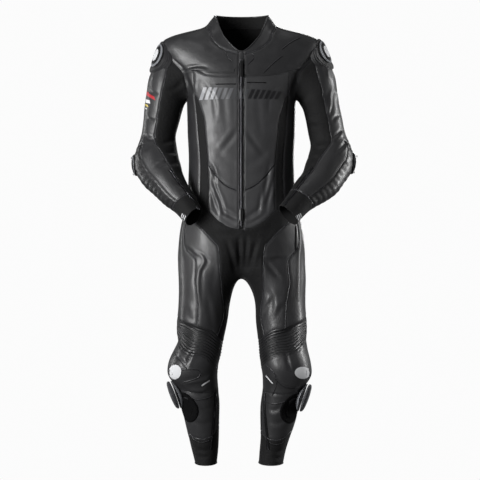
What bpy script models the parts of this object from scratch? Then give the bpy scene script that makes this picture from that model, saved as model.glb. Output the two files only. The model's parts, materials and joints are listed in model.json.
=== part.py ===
"""One-piece motorcycle race suit, filled out as when it is worn, with nobody inside.

Metres, +Z up, front facing -Y, the wearer's right sleeve and leg at -X. The origin is on the
shoulder line at the foot of the neck. One outer skin of quads is worked out from section tables
(torso, two sleeves, two legs). Each cut panel is a set of its cells, given a wall inwards and
trimmed at its seams, and what is sewn or bolted on is made from the skin's own points, moved out.
"""

import math

import bmesh
import bpy
import numpy as np
from mathutils import Matrix, Vector
from mathutils.bvhtree import BVHTree

MM = 0.001

# Walls and clearances, in millimetres
LEATHER = 1.6
STRETCH = 1.4
COLLAR_WALL = 3.0
SEAM_GAP = 0.3
LIFT = 0.5
RIB_HEIGHT = 3.5

# Roundness of the torso's and the legs' cross-sections: 2 is an ellipse, more is squarer
TORSO_POWER = 2.3
LEG_POWER = 2.2

# Torso sections: height z, half width, depth to the front, depth to the back
TORSO_SECTIONS = [
    (14, 115, 58, 58),
    (-3, 152, 66, 68),
    (-13, 206, 72, 74),
    (-26, 241, 78, 80),
    (-45, 265, 85, 88),
    (-73, 270, 92, 98),
    (-100, 258, 100, 106),
    (-140, 222, 110, 114),
    (-185, 198, 117, 118),
    (-233, 182, 120, 118),
    (-336, 179, 118, 112),
    (-430, 175, 112, 104),
    (-513, 177, 108, 102),
    (-593, 188, 110, 110),
    (-643, 199, 114, 118),
    (-686, 206, 117, 124),
    (-760, 211, 116, 126),
    (-820, 211, 112, 120),
]

# Back lines of the torso, side to spine, as fractions of its half width
BACK_LINES = (("armhole_back", None), ("back_outer", 0.80), ("back_mid", 0.57), ("back_inner", 0.30))

# Seam rows of the torso, bottom to top: name, cells up to the next row, height at the centre of
# the back, and (x, z) on each front line: zip, fore, chest, inner and outer edge of the stretch
# strip, flank, armhole and side
TORSO_ROWS = [
    ("crotch", 1, -785, [(15, -813), (32, -808), (48, -803), (70, -796),
                         (112, -776), (150, -763), (191, -769), (208, -773)]),
    ("hip_low", 1, -735, [(15, -786), (32, -784), (48, -783), (70, -778),
                          (125, -739), (190, -724), (203, -721), (207, -719)]),
    ("hip_mid", 1, -690, [(14, -763), (32, -761), (50, -758), (70, -753),
                          (132, -699), (190, -666), (199, -663), (203, -661)]),
    ("hip", 1, -645, [(12, -741), (32, -738), (52, -733), (73, -725),
                      (135, -659), (182, -613), (191, -608), (196, -606)]),
    ("hem", 3, -600, [(8, -661), (38, -656), (75, -634), (108, -601),
                      (143, -594), (168, -593), (183, -591), (188, -589)]),
    ("belly", 3, -440, [(8, -541), (42, -528), (80, -495), (109, -454),
                        (137, -436), (156, -430), (169, -426), (175, -426)]),
    ("ribcage", 2, -310, [(8, -308), (45, -307), (87, -305), (123, -303),
                          (148, -300), (164, -300), (174, -300), (179, -300)]),
    ("underarm", 2, -233, [(8, -240), (48, -239), (98, -235), (149, -230),
                           (155, -226), (167, -225), (176, -226), (181, -233)]),
    ("yoke", 1, -150, [(8, -166), (42, -166), (78, -165), (115, -160),
                       (158, -144), (178, -141), (193, -141), (208, -140)]),
    ("raglan", 3, -132, [(8, -156), (42, -155), (78, -153), (119, -146),
                         (172, -130), (214, -108), (240, -94), (245, -95)]),
    ("shoulder", 3, -90, [(8, -124), (40, -121), (75, -116), (125, -103),
                          (171, -88), (215, -78), (253, -73), (265, -45)]),
    ("neck", 0, 16, [(8, -92), (34, -85), (62, -74), (86, -54),
                     (100, -23), (108, -3), (113, 5), (118, 12)]),
]

# Collar: top edge, (x, z) on each front line, then its height at the back and its half sizes
COLLAR_EDGE = [(7, -84), (27, -69), (45, -48), (60, -29), (72, 0), (82, 32), (88, 41), (90, 45)]
COLLAR_BACK_Z, COLLAR_HALF_WIDTH, COLLAR_FRONT, COLLAR_BACK = 50, 91, 97, 50

# The hollow between the legs: height z, how far it sets the middle of the front back
CLEFT = [(-830, 46), (-800, 40), (-770, 24), (-740, 9), (-700, 0), (0, 0)]
CLEFT_WIDTH = 42
GUSSET = [(-50, -829), (8, -836), (62, -822)]  # y, z of the gusset between front and back

# Leg sections: height z, x of the outer and inner sides of the left and right leg as seen from
# the front, then y at the front and at the back
LEG_SECTIONS = [
    (-773, 208, 15, 215, 15, -113, 122),
    (-832, 209, 18, 214, 23, -108, 112),
    (-882, 209, 35, 213, 42, -106, 104),
    (-922, 208, 38, 211, 45, -105, 97),
    (-962, 213, 45, 215, 47, -104, 88),
    (-999, 214, 60, 216, 53, -104, 80),
    (-1036, 210, 62, 214, 56, -108, 72),
    (-1072, 228, 65, 221, 57, -118, 64),
    (-1106, 242, 74, 229, 62, -125, 58),
    (-1146, 242, 80, 230, 70, -120, 58),
    (-1185, 216, 78, 207, 71, -102, 64),
    (-1222, 204, 74, 191, 67, -92, 74),
    (-1259, 199, 73, 188, 62, -84, 80),
    (-1295, 189, 75, 180, 63, -76, 78),
    (-1352, 176, 75, 162, 64, -62, 68),
    (-1389, 168, 77, 150, 62, -54, 62),
    (-1415, 159, 80, 143, 58, -50, 58),
    (-1450, 153, 83, 137, 57, -48, 54),
]

# Seam rows of the legs, top to bottom: name, cells from the row above, then z at the outer side,
# the front, the inner side and the back of the left leg and of the right leg
LEG_ROWS = [
    ("ribs_top", 3, (-956, -984, -1042, -1000), (-952, -990, -1036, -1000)),
    ("ribs_bottom", 8, (-1036, -1072, -1132, -1085), (-1030, -1072, -1118, -1085)),
    ("cup_bottom", 4, (-1180, -1198, -1192, -1190), (-1184, -1202, -1192, -1190)),
    ("shin_bottom", 3, (-1343, -1356, -1316, -1340), (-1326, -1360, -1336, -1340)),
    ("band_bottom", 1, (-1354, -1376, -1340, -1362), (-1346, -1380, -1358, -1362)),
    ("leg_hem", 2, (-1440, -1442, -1440, -1438), (-1440, -1442, -1440, -1438)),
]

# Angle of each leg line round its section, outer side 0, front 90, inner side 180: one row for
# the thigh, above the ribs, the knee and the shin
LEG_ANGLES = [
    (-830, (0, 32, 68, 94, 120, 132, 144, 156, 168, 180, 195, 212, 240, 270, 300, 330)),
    (-985, (0, 43, 86, 118, 148, 158, 167, 176, 187, 200, 215, 233, 257, 282, 308, 334)),
    (-1100, (0, 23, 46, 69, 92, 114, 136, 157, 178, 198, 218, 240, 264, 288, 312, 336)),
    (-1300, (0, 22, 45, 68, 90, 112, 133, 152, 172, 192, 214, 238, 262, 287, 312, 336)),
]

# Sleeve sections, shoulder to cuff: outer x, outer z, inner x, inner z of the left sleeve, the
# same of the right one, then centre y, half depth and the angle of the stretch seam
SLEEVE_SECTIONS = [
    (303, -143, 182, -236, 305, -133, 189, -236, 8, 70, 80),
    (316, -206, 190, -247, 320, -206, 195, -246, 10, 69, 80),
    (324, -260, 199, -273, 328, -256, 205, -263, 12, 66, 80),
    (328, -306, 207, -303, 338, -300, 215, -300, 14, 62, 80),
    (335, -350, 219, -346, 346, -340, 223, -343, 16, 60, 82),
    (347, -390, 218, -376, 360, -378, 229, -370, 13, 62, 88),
    (357, -426, 215, -396, 372, -416, 230, -389, 6, 66, 98),
    (356, -456, 212, -410, 371, -450, 226, -406, -5, 68, 108),
    (346, -484, 208, -428, 361, -480, 221, -423, -20, 66, 116),
    (320, -522, 201, -451, 338, -511, 211, -448, -42, 61, 124),
    (294, -544, 193, -480, 315, -543, 200, -480, -64, 55, 130),
    (253, -583, 171, -526, 270, -574, 175, -511, -90, 47, 134),
    (221, -604, 153, -554, 231, -596, 159, -538, -108, 42, 138),
    (196, -630, 140, -577, 201, -622, 140, -566, -124, 39, 138),
    (177, -648, 131, -597, 178, -647, 123, -588, -135, 37, 138),
]
ELBOW_ROW, CUFF_ROW = 6, 13  # sleeve sections where the ribbed panel and the cuff band start

# Hard and padded pieces: place (x, y, z) on each side, direction it faces, half sizes, thickness
SHOULDER_CUP = {"left": (-282, -20, -92), "right": (284, -20, -80), "faces": (0.90, -0.16, 0.40),
                "across": 44, "along": 56, "thick": 6.0}
SHOULDER_SLIDER = {"left": (-284, -20, -86), "right": (286, -20, -72), "faces": (0.90, -0.16, 0.40),
                   "across": 30, "along": 42, "thick": 9.0}
ELBOW_SLIDER = {"left": (-357, -8, -452), "right": (373, -8, -446), "faces": (0.96, 0.05, -0.26),
                "across": 27, "along": 36, "thick": 9.0}
KNEE_PATCH = {"left": (-182, -70, -1248), "right": (168, -70, -1252), "faces": (0.74, -0.67, 0.0),
              "across": 40, "along": 50, "thick": 2.0}
KNEE_SLIDER = {"left": (-208, -42, -1208), "right": (196, -42, -1218), "faces": (0.86, -0.50, -0.06),
               "across": 34, "along": 47, "thick": 34.0}
POCKET_WELT = {"x": (-115, -20), "z": (-153, -140), "thick": 1.8}

# Zip sliders and pulls of the main zip: (x, z) of the slider, the way it faces and runs, width and
# length of the pull; then the short pulls by themselves: nearest place, the way it runs, sizes
ZIPS = [
    ("main_zip_top", 0, -119, (0, -1, 0), (0, 0, -1), 9, 56),
    ("main_zip_bottom", 0, -600, (0, -1, 0), (0, 0, -1), 11, 40),
]
SMALL_PULLS = [
    ("wrist_zip_pull_left", (-146, -152, -590), (0.54, -0.44, -0.71), 7, 17),
    ("wrist_zip_pull_right", (148, -150, -575), (-0.61, -0.37, -0.69), 7, 17),
    ("calf_zip_pull_left", (-86, -60, -1262), (0, 0, -1), 7, 20),
    ("calf_zip_pull_right", (72, -60, -1262), (0, 0, -1), 7, 20),
]
SLIDER_SIZE = (11, 4, 13)  # across, thick, long
PULL_THICK = 1.8
PULL_END = 1.0  # from the hinge axis, which runs in the tab, to its upper end

# Colour, roughness and metallic value of each material
FINISHES = {
    "leather": ((0.020, 0.020, 0.021), 0.38, 0.0),
    "stretch": ((0.012, 0.012, 0.013), 0.85, 0.0),
    "ribbed_leather": ((0.014, 0.014, 0.015), 0.50, 0.0),
    "zip_tape": ((0.008, 0.008, 0.008), 0.80, 0.0),
    "hard_plastic": ((0.045, 0.046, 0.048), 0.28, 0.0),
    "velcro": ((0.006, 0.006, 0.006), 0.95, 0.0),
    "zip_metal": ((0.030, 0.030, 0.032), 0.35, 1.0),
}


def through(table, at):
    """The table's columns at this first-column value, on a curve that never overshoots its rows."""
    rows = np.array(sorted(table), dtype=float)
    keys, values = rows[:, 0], rows[:, 1:]
    at = min(max(at, keys[0]), keys[-1])
    i = min(max(int(np.searchsorted(keys, at)) - 1, 0), len(keys) - 2)
    steps = np.diff(keys)[:, None]
    slopes = np.diff(values, axis=0) / steps

    def tangent(k):
        if k == 0 or k == len(keys) - 1:
            return slopes[min(k, len(slopes) - 1)]
        before, after = slopes[k - 1], slopes[k]
        mean = 2 * before * after / np.where(before + after == 0, 1, before + after)
        return np.where(before * after > 0, mean, 0)

    step = keys[i + 1] - keys[i]
    t = (at - keys[i]) / step
    return (
        (2 * t**3 - 3 * t**2 + 1) * values[i]
        + (t**3 - 2 * t**2 + t) * step * tangent(i)
        + (3 * t**2 - 2 * t**3) * values[i + 1]
        + (t**3 - t**2) * step * tangent(i + 1)
    )


def bulge(fraction, power):
    """How far out a section stands at this fraction of its half width."""
    return max(1 - abs(fraction) ** power, 0) ** (1 / power)


class Skin:
    """The suit's outer surface: points in millimetres, quads, and the panel that each belongs to."""

    def __init__(self):
        self.points, self.cells = [], []

    def add(self, x, y, z):
        self.points.append(Vector((x, y, z)))
        return len(self.points) - 1

    def cell(self, corners, panel, turned=False):
        self.cells.append((tuple(reversed(corners)) if turned else tuple(corners), panel))

    def normals(self):
        """One normal a point, weighted by corner angle, so walls of neighbours stay side by side."""
        sums = [Vector() for _ in self.points]
        for corners, _ in self.cells:
            for i, corner in enumerate(corners):
                here = self.points[corner]
                ahead = self.points[corners[(i + 1) % 4]] - here
                behind = self.points[corners[i - 1]] - here
                sums[corner] += ahead.cross(behind).normalized() * ahead.angle(behind)
        return [total.normalized() for total in sums]


def torso_point(line_fraction, z, front):
    """A point of the torso at this fraction of its half width and this height."""
    half, ahead, behind = through(TORSO_SECTIONS, z)
    if not front:
        return line_fraction * half, behind * bulge(line_fraction, TORSO_POWER)
    x = line_fraction * half
    set_back = through(CLEFT, z)[0] * math.exp(-((x / CLEFT_WIDTH) ** 2))
    return x, set_back - ahead * bulge(line_fraction, TORSO_POWER)


def torso_half(side):
    """Rows of (x, y, z), bottom to top: first the front lines from zip to side, then the back."""
    rows = []
    for (_, cells, back_z, line), (_, _, next_back_z, next_line) in zip(TORSO_ROWS, TORSO_ROWS[1:]):
        for step in range(cells):
            rows.append(torso_row(line, next_line, back_z, next_back_z, step / cells, side))
    last = TORSO_ROWS[-1]
    rows.append(torso_row(last[3], last[3], last[2], last[2], 0, side))
    return rows


def torso_row(line, next_line, back_z, next_back_z, t, side):
    row, fractions = [], []
    for (x, z), (next_x, next_z) in zip(line, next_line):
        start = min(x / through(TORSO_SECTIONS, z)[0], 1)
        end = min(next_x / through(TORSO_SECTIONS, next_z)[0], 1)
        fractions.append(start + (end - start) * t)
        height = z + (next_z - z) * t
        # the side line is the outline itself
        fraction = 1 if len(fractions) == len(line) else fractions[-1]
        x_now, y_now = torso_point(fraction, height, True)
        row.append((side * x_now, y_now, height))
    side_z = row[-1][2]
    middle_z = back_z + (next_back_z - back_z) * t
    half = through(TORSO_SECTIONS, middle_z)[0]
    for name, fraction in (*BACK_LINES, ("back_zip", row[0][0] * side / half)):
        fraction = fractions[-2] if name == "armhole_back" else fraction
        inward = (1 - fraction) ** 0.7
        height = row[-2][2] * (1 - inward) + middle_z * inward if name == "armhole_back" else (
            side_z + (middle_z - side_z) * inward)
        x_now, y_now = torso_point(fraction, height, False)
        row.append((side * x_now, y_now, height))
    return row


def row_index(name):
    """Number of the torso's grid row that carries this seam."""
    count = 0
    for seam, cells, _, _ in TORSO_ROWS:
        if seam == name:
            return count
        count += cells
    raise KeyError(name)


def torso_panel(row, column, side_name):
    """Name of the panel that this cell of one half belongs to: 7 columns in front, 5 behind."""
    hip, hem, belly = row_index("hip"), row_index("hem"), row_index("belly")
    underarm, yoke, shoulder = row_index("underarm"), row_index("yoke"), row_index("shoulder")
    on_front, beside_arm = column < 7, column in (6, 7)
    if beside_arm and underarm <= row < shoulder:
        return None  # the armhole
    if not on_front:
        return "back" if row >= hem else "seat_" + side_name
    if row >= yoke:
        return "yoke_" + side_name
    if row >= underarm:
        return ("side_panel_" if column >= 4 else "chest_") + side_name
    if row >= hem:
        if column >= 4:
            return "side_panel_" + side_name
        if column == 3:
            return "side_strip_" + side_name
        return ("chest_" if row >= belly else "belly_") + side_name
    if row >= hip or column < 3:
        return "pelvis_panel"
    return ("thigh_front_" if column < 5 else "thigh_outer_") + side_name


def middle_panel(row, front):
    """Name of the panel between the two halves at this row, under the zip or along the spine."""
    if not front:
        return "back" if row >= row_index("hem") else "pelvis_panel"
    if row < row_index("hem"):
        return "pelvis_panel"
    return "main_zip_tape" if row < row_index("shoulder") else "zip_garage"


def build_torso(skin):
    """Adds the torso and the collar; returns each half's grid of point numbers."""
    grids = {}
    for side, side_name in ((-1, "left"), (1, "right")):
        rows = torso_half(side)
        rows += collar_rows(rows[-1], side)
        grids[side_name] = [[skin.add(*p) for p in row] for row in rows]
    top = row_index("neck")
    for side_name, turned in (("left", True), ("right", False)):
        grid = grids[side_name]
        for i in range(len(grid) - 1):
            for j in range(len(grid[0]) - 1):
                panel = "collar" if i >= top else torso_panel(i, j, side_name)
                if panel:
                    corners = (grid[i][j], grid[i][j + 1], grid[i + 1][j + 1], grid[i + 1][j])
                    skin.cell(corners, panel, turned)
    left, right = grids["left"], grids["right"]
    for i in range(len(left) - 1):
        front_panel = middle_panel(i, True)
        back_panel = "collar" if i >= top else middle_panel(i, False)
        skin.cell((left[i][0], right[i][0], right[i + 1][0], left[i + 1][0]), front_panel)
        skin.cell((right[i][-1], left[i][-1], left[i + 1][-1], right[i + 1][-1]), back_panel)
    return grids


def collar_rows(neck, side):
    """Two rows above the neck seam: the middle of the stand-up collar and its top edge."""
    edge = []
    for x, z in COLLAR_EDGE:
        edge.append((side * x, -COLLAR_FRONT * bulge(x / COLLAR_HALF_WIDTH, 2), z))
    for x, _, _ in neck[len(COLLAR_EDGE):]:
        fraction = abs(x) / abs(neck[len(COLLAR_EDGE) - 1][0])
        x_now = fraction * COLLAR_HALF_WIDTH
        edge.append((side * x_now, COLLAR_BACK * bulge(fraction, 2), COLLAR_BACK_Z))
    middle = [
        tuple(0.5 * a + 0.5 * b for a, b in zip(low, high)) for low, high in zip(neck, edge)
    ]
    return [middle, edge]


def around(values, degrees):
    """Height of a slanted seam at this angle: values at the outer side, front, inner side, back."""
    quarter = (degrees % 360) / 90
    i = int(quarter)
    ease = 0.5 - 0.5 * math.cos((quarter - i) * math.pi)
    return values[i % 4] * (1 - ease) + values[(i + 1) % 4] * ease


def leg_point(z, degrees, side_name, out=0):
    """A point on a leg's section at this height and angle, moved out from the leg's axis."""
    section = through(LEG_SECTIONS, z)
    outer, inner = section[0:2] if side_name == "left" else section[2:4]
    front, back = section[4:6]
    middle, half = (outer + inner) / 2, (outer - inner) / 2 + out
    centre = (front + back) / 2
    depth = (back - front) / 2 + out
    cosine, sine = math.cos(math.radians(degrees)), math.sin(math.radians(degrees))
    x = middle + half * math.copysign(abs(cosine) ** (2 / LEG_POWER), cosine)
    y = centre - depth * math.copysign(abs(sine) ** (2 / LEG_POWER), sine)
    return (-x if side_name == "left" else x), y, z


def leg_panel(row, column, side_name):
    """Name of the panel of this leg cell: 16 columns from the outer side round by the front."""
    ends = np.cumsum([cells for _, cells, _, _ in LEG_ROWS])
    ribs_top, ribs_bottom, cup_bottom, shin_bottom, band_bottom = ends[:5]
    if row < ribs_top:
        if column < 2 or column == 15:
            return "thigh_outer_" + side_name
        if column < 4:
            return "thigh_front_" + side_name
        return "pelvis_panel" if column < 10 else "seat_" + side_name
    if row >= shin_bottom:
        return "gaiter_" + side_name
    if row < ribs_bottom:
        return ("knee_ribs_" if column < 9 else "calf_") + side_name
    if row < cup_bottom:
        return ("knee_cup_" if column < 8 else "calf_") + side_name
    return ("shin_" if column < 7 else "calf_") + side_name


def line_angle(line, z):
    """Angle of this leg line at this height."""
    return through([(height, angles[line]) for height, angles in LEG_ANGLES], z)[0]


def seam_height(seam, line, z):
    """Height at which this leg line meets the slanted seam below z."""
    for _ in range(6):
        z = around(seam, line_angle(line, z))
    return z


def rib(step, cells, line):
    """How far this rib row stands out: crests and troughs in front, fading to the two sides."""
    if step == cells or not 0 < line < 9:
        return 0
    crest = 1 if step % 2 else -0.6
    return RIB_HEIGHT * crest * math.sin(math.pi * min(line, 9 - line) / 9) ** 0.5


def build_leg(skin, side_name, torso, gusset):
    """Adds one leg below the torso's lowest row and the gusset's edge."""
    low = torso[0]
    ring = list(reversed(low[:8])) + gusset + list(reversed(low[8:]))
    rings = [ring]
    heights = [skin.points[i].z for i in ring]
    for name, cells, left_z, right_z in LEG_ROWS:
        seam = left_z if side_name == "left" else right_z
        targets = [seam_height(seam, j, heights[j]) for j in range(16)]
        for step in range(1, cells + 1):
            row = []
            for j in range(16):
                z = heights[j] + (targets[j] - heights[j]) * step / cells
                out = rib(step, cells, j) if name == "ribs_bottom" else 0
                row.append(skin.add(*leg_point(z, line_angle(j, z), side_name, out)))
            rings.append(row)
        heights = targets
    count = len(rings) - 1
    for i in range(count):
        for j in range(16):
            k = (j + 1) % 16
            corners = (rings[i + 1][j], rings[i + 1][k], rings[i][k], rings[i][j])
            skin.cell(corners, leg_panel(i, j, side_name), side_name == "right")


def sleeve_panel(row, column, side_name):
    """Name of the panel of this sleeve cell: 16 columns from the outer side round by the front."""
    if row >= CUFF_ROW:
        return "cuff_" + side_name
    if 4 <= column < 12:
        return "sleeve_inner_" + side_name
    if row >= ELBOW_ROW and (column < 2 or column >= 12):
        return "elbow_panel_" + side_name
    return "sleeve_top_" + side_name


def sleeve_frames(side_name):
    """Centre, vector to the outer side, vector to the front and seam angle of each section."""
    sign, at = (-1, 0) if side_name == "left" else (1, 4)
    centres, outs = [], []
    for section in SLEEVE_SECTIONS:
        outer_x, outer_z, inner_x, inner_z = section[at:at + 4]
        outer = Vector((sign * outer_x, section[8], outer_z))
        inner = Vector((sign * inner_x, section[8], inner_z))
        centres.append((outer + inner) / 2)
        outs.append((outer - inner) / 2)
    frames = []
    for i, section in enumerate(SLEEVE_SECTIONS):
        before, after = centres[max(i - 1, 0)], centres[min(i + 1, len(centres) - 1)]
        ahead = outs[i].cross(after - before).normalized() * section[9]
        frames.append((centres[i], outs[i], ahead if ahead.y < 0 else -ahead, section[10]))
    return frames


def build_sleeve(skin, side_name, torso):
    """Adds one sleeve from the armhole's edge to the cuff."""
    low, high = row_index("underarm"), row_index("shoulder")
    edge = [torso[high][7]]
    edge += [torso[i][6] for i in range(high, low - 1, -1)]
    edge += [torso[low][7]]
    edge += [torso[i][8] for i in range(low, high + 1)]
    rings = [edge]
    for centre, out, ahead, seam in sleeve_frames(side_name):
        row = []
        for j in range(16):
            if j <= 4:
                degrees = seam * j / 4
            elif j <= 8:
                degrees = seam + (180 - seam) * (j - 4) / 4
            else:
                degrees = 22.5 * j
            turn = math.radians(degrees)
            point = centre + out * math.cos(turn) + ahead * math.sin(turn)
            row.append(skin.add(*point))
        rings.append(row)
    for i in range(len(rings) - 1):
        for j in range(16):
            k = (j + 1) % 16
            corners = (rings[i + 1][j], rings[i + 1][k], rings[i][k], rings[i][j])
            skin.cell(corners, sleeve_panel(i, j, side_name), side_name == "right")


def build_skin():
    skin = Skin()
    torso = build_torso(skin)
    edges = {"left": [], "right": []}
    for y, z in GUSSET:
        edges["left"].append(skin.add(-TORSO_ROWS[0][3][0][0], y, z))
        edges["right"].append(skin.add(TORSO_ROWS[0][3][0][0], y, z))
    left = [torso["left"][0][0], *edges["left"], torso["left"][0][-1]]
    right = [torso["right"][0][0], *edges["right"], torso["right"][0][-1]]
    for i in range(len(left) - 1):
        skin.cell((left[i], left[i + 1], right[i + 1], right[i]), "pelvis_panel")
    for side_name in ("left", "right"):
        build_leg(skin, side_name, torso[side_name], edges[side_name])
        build_sleeve(skin, side_name, torso[side_name])
    return skin


def material(name):
    colour, roughness, metallic = FINISHES[name]
    made = bpy.data.materials.get(name) or bpy.data.materials.new(name)
    made.use_nodes = True
    shader = made.node_tree.nodes["Principled BSDF"]
    shader.inputs["Base Color"].default_value = (*colour, 1)
    shader.inputs["Roughness"].default_value = roughness
    shader.inputs["Metallic"].default_value = metallic
    return made


def new_object(name, points, faces, finish, collection, origin=Vector()):
    """An object from points in millimetres, with its own origin."""
    mesh = bpy.data.meshes.new(name)
    mesh.from_pydata([(p - origin) * MM for p in points], [], faces)
    mesh.materials.append(material(finish))
    mesh.shade_smooth()
    mesh.set_sharp_from_angle(angle=math.radians(40))
    made = bpy.data.objects.new(name, mesh)
    made.location = origin * MM
    collection.objects.link(made)
    return made


def wall(points, normals, faces, outward, inward, trim):
    """Closed wall over an open surface, reaching outward and inward from it, trimmed at its edge."""
    used = sorted({corner for face in faces for corner in face})
    number = {corner: i for i, corner in enumerate(used)}
    sides = {}
    for face in faces:
        # the last corner of a triangle is its first again, which gives the same normal
        normal = (points[face[2]] - points[face[0]]).cross(points[face[3 % len(face)]] - points[face[1]])
        for a, b in zip(face, face[1:] + face[:1]):
            if (b, a) in sides:
                del sides[(b, a)]
            else:
                sides[(a, b)] = normal.normalized().cross((points[b] - points[a]).normalized())
    shifts = {}
    for (a, b), toward in sides.items():
        shifts.setdefault(a, []).append(toward)
        shifts.setdefault(b, []).append(toward)
    outer, inner = [], []
    for corner in used:
        shift = Vector()
        if corner in shifts:
            total = sum(shifts[corner], Vector())
            shift = total * (trim * len(shifts[corner]) / max(total.length_squared, 0.5))
        base = points[corner] + shift
        outer.append(base + normals[corner] * outward)
        inner.append(base - normals[corner] * inward)
    made = []
    for face in faces:
        f = [number[corner] for corner in face]
        if len(f) == 4:
            first = (points[face[0]] - points[face[2]]).length
            second = (points[face[1]] - points[face[3]]).length
            split = ((0, 1, 2), (0, 2, 3)) if first <= second else ((0, 1, 3), (1, 2, 3))
        else:
            split = tuple((0, i, i + 1) for i in range(1, len(f) - 1))
        for a, b, c in split:
            made.append((f[a], f[b], f[c]))
            made.append((f[c] + len(used), f[b] + len(used), f[a] + len(used)))
    for a, b in sides:
        a, b = number[a], number[b]
        c, d = a + len(used), b + len(used)
        # both neighbours split the side wall of a seam along the same diagonal
        made += [(b, a, c), (b, c, d)] if b < a else [(b, a, d), (a, c, d)]
    return outer + inner, made


def finish_of(panel):
    """Material and wall thickness of a panel."""
    if panel.startswith(("side_strip", "pelvis", "sleeve_inner", "cuff", "gaiter", "calf")):
        return "stretch", STRETCH
    if panel.startswith(("knee_ribs", "elbow_panel")):
        return "ribbed_leather", LEATHER
    if panel == "main_zip_tape":
        return "zip_tape", STRETCH
    if panel == "collar":
        return "leather", COLLAR_WALL
    return "leather", LEATHER


def cut_panels(skin, normals, collection):
    panels = {}
    for corners, panel in skin.cells:
        panels.setdefault(panel, []).append(corners)
    for panel, faces in sorted(panels.items()):
        finish, thick = finish_of(panel)
        points, made = wall(skin.points, normals, faces, 0, thick, SEAM_GAP / 2)
        new_object(panel, points, made, finish, collection)


def view_frame(faces):
    """Unit vectors across, along (upwards) and out of a piece that faces this way."""
    out = Vector(faces).normalized()
    across = Vector((0, 0, 1)).cross(out).normalized()
    return across, out.cross(across), out


def patch(skin, normals, centre, frame, outline):
    """The stretch of skin inside a convex outline, seen along the frame's out direction."""
    across, along, out = frame
    reach = max(math.hypot(a, b) for a, b in outline)
    work = bmesh.new()
    kept = {}
    layer = work.verts.layers.float_vector.new("normal")
    for corners, _ in skin.cells:
        middle = sum((skin.points[c] for c in corners), Vector()) / 4
        facing = sum((normals[c] for c in corners), Vector()).normalized().dot(out)
        if (middle - centre).length > reach + 80 or facing < 0.15:
            continue
        loop = []
        for c in corners:
            if c not in kept:
                kept[c] = work.verts.new(skin.points[c])
                kept[c][layer] = normals[c]
            loop.append(kept[c])
        first = (skin.points[corners[0]] - skin.points[corners[2]]).length
        second = (skin.points[corners[1]] - skin.points[corners[3]]).length
        split = ((0, 1, 2), (0, 2, 3)) if first <= second else ((0, 1, 3), (1, 2, 3))
        for s in split:
            work.faces.new([loop[k] for k in s])
    for (a0, b0), (a1, b1) in zip(outline, outline[1:] + outline[:1]):
        edge = across * (a1 - a0) + along * (b1 - b0)
        bmesh.ops.bisect_plane(
            work, geom=work.verts[:] + work.edges[:] + work.faces[:], dist=1e-4,
            plane_co=centre + across * a0 + along * b0,
            plane_no=edge.cross(out), clear_outer=True,
        )
    bmesh.ops.remove_doubles(work, verts=work.verts, dist=0.05)
    bmesh.ops.triangulate(work, faces=work.faces)
    work.verts.ensure_lookup_table()
    work.verts.index_update()
    points = [v.co.copy() for v in work.verts]
    there = [Vector(v[layer]).normalized() for v in work.verts]
    faces = [tuple(v.index for v in f.verts) for f in work.faces]
    work.free()
    return points, there, faces


def oval(across, along, count=16):
    return [
        (across * math.cos(2 * math.pi * i / count), along * math.sin(2 * math.pi * i / count))
        for i in range(count)
    ]


def on_skin(tree, x, z, out):
    """Where the skin is met at this x and z, coming from outside against the out direction."""
    start = Vector((x, 0, z)) + Vector(out).normalized() * 400
    return tree.ray_cast(start, -Vector(out).normalized())[0]


def fix_on(skin, normals, tree, piece, name, finish, collection, lift, domed=False):
    """One padded or hard piece on each side, made from the skin's points, moved out."""
    for side_name, sign in (("left", -1), ("right", 1)):
        faces = (sign * piece["faces"][0], piece["faces"][1], piece["faces"][2])
        frame = view_frame(faces)
        outline = oval(piece["across"], piece["along"])
        centre = tree.find_nearest(Vector(piece[side_name]))[0]
        points, there, cells = patch(skin, normals, centre, frame, outline)
        if not domed:
            made_points, made = wall(points, there, cells, lift + piece["thick"], -lift, 0)
        else:
            made_points, made = dome(points, there, cells, frame[2], centre, lift, piece)
        new_object(f"{name}_{side_name}", made_points, made, finish, collection)


def dome(points, there, cells, out, centre, lift, piece):
    """A slab whose underside follows the skin and whose top is a low dome facing one way."""
    made_points, made = wall(points, there, cells, lift + 1, -lift, 0)
    half = len(made_points) // 2
    reach = max((p - centre - out * (p - centre).dot(out)).length for p in points)
    for i in range(half):
        flat = made_points[i] - centre
        level = flat.dot(out)
        aside = (flat - out * level).length / reach
        height = lift + piece["thick"] * (1 - 0.45 * aside**3)
        made_points[i] += out * (max(height, level + 3) - level)
    return made_points, made


def block(name, size, base, frame, finish, collection, bevel, origin=None):
    """A box with bevelled edges: size across, thick, long; base is the middle of its back."""
    across, along, out = frame
    bpy.ops.mesh.primitive_cube_add(size=1)
    made = bpy.context.active_object
    made.name = made.data.name = name
    turn = Matrix((across, out, along)).transposed().to_4x4()
    middle = base + out * size[1] / 2
    origin = origin or middle
    made.data.transform(Matrix.Diagonal((*size, 1)))
    made.data.transform(turn)
    made.data.transform(Matrix.Translation(middle - origin))
    made.data.transform(Matrix.Scale(MM, 4))
    made.location = origin * MM
    if turn.determinant() < 0:
        made.data.flip_normals()
    rounding = made.modifiers.new("edges", "BEVEL")
    rounding.width, rounding.segments = bevel * MM, 2
    made.data.materials.clear()
    made.data.materials.append(material(finish))
    for old in list(made.users_collection):
        old.objects.unlink(made)
    collection.objects.link(made)
    return made


def surface_frame(tree, point, down):
    """Vectors across, up and out for a flat piece that lies on the skin at this point."""
    _, normal, _, _ = tree.find_nearest(point)
    out = normal.normalized()
    up = -(Vector(down) - out * Vector(down).dot(out)).normalized()
    return out.cross(up) * -1, up, out


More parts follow.
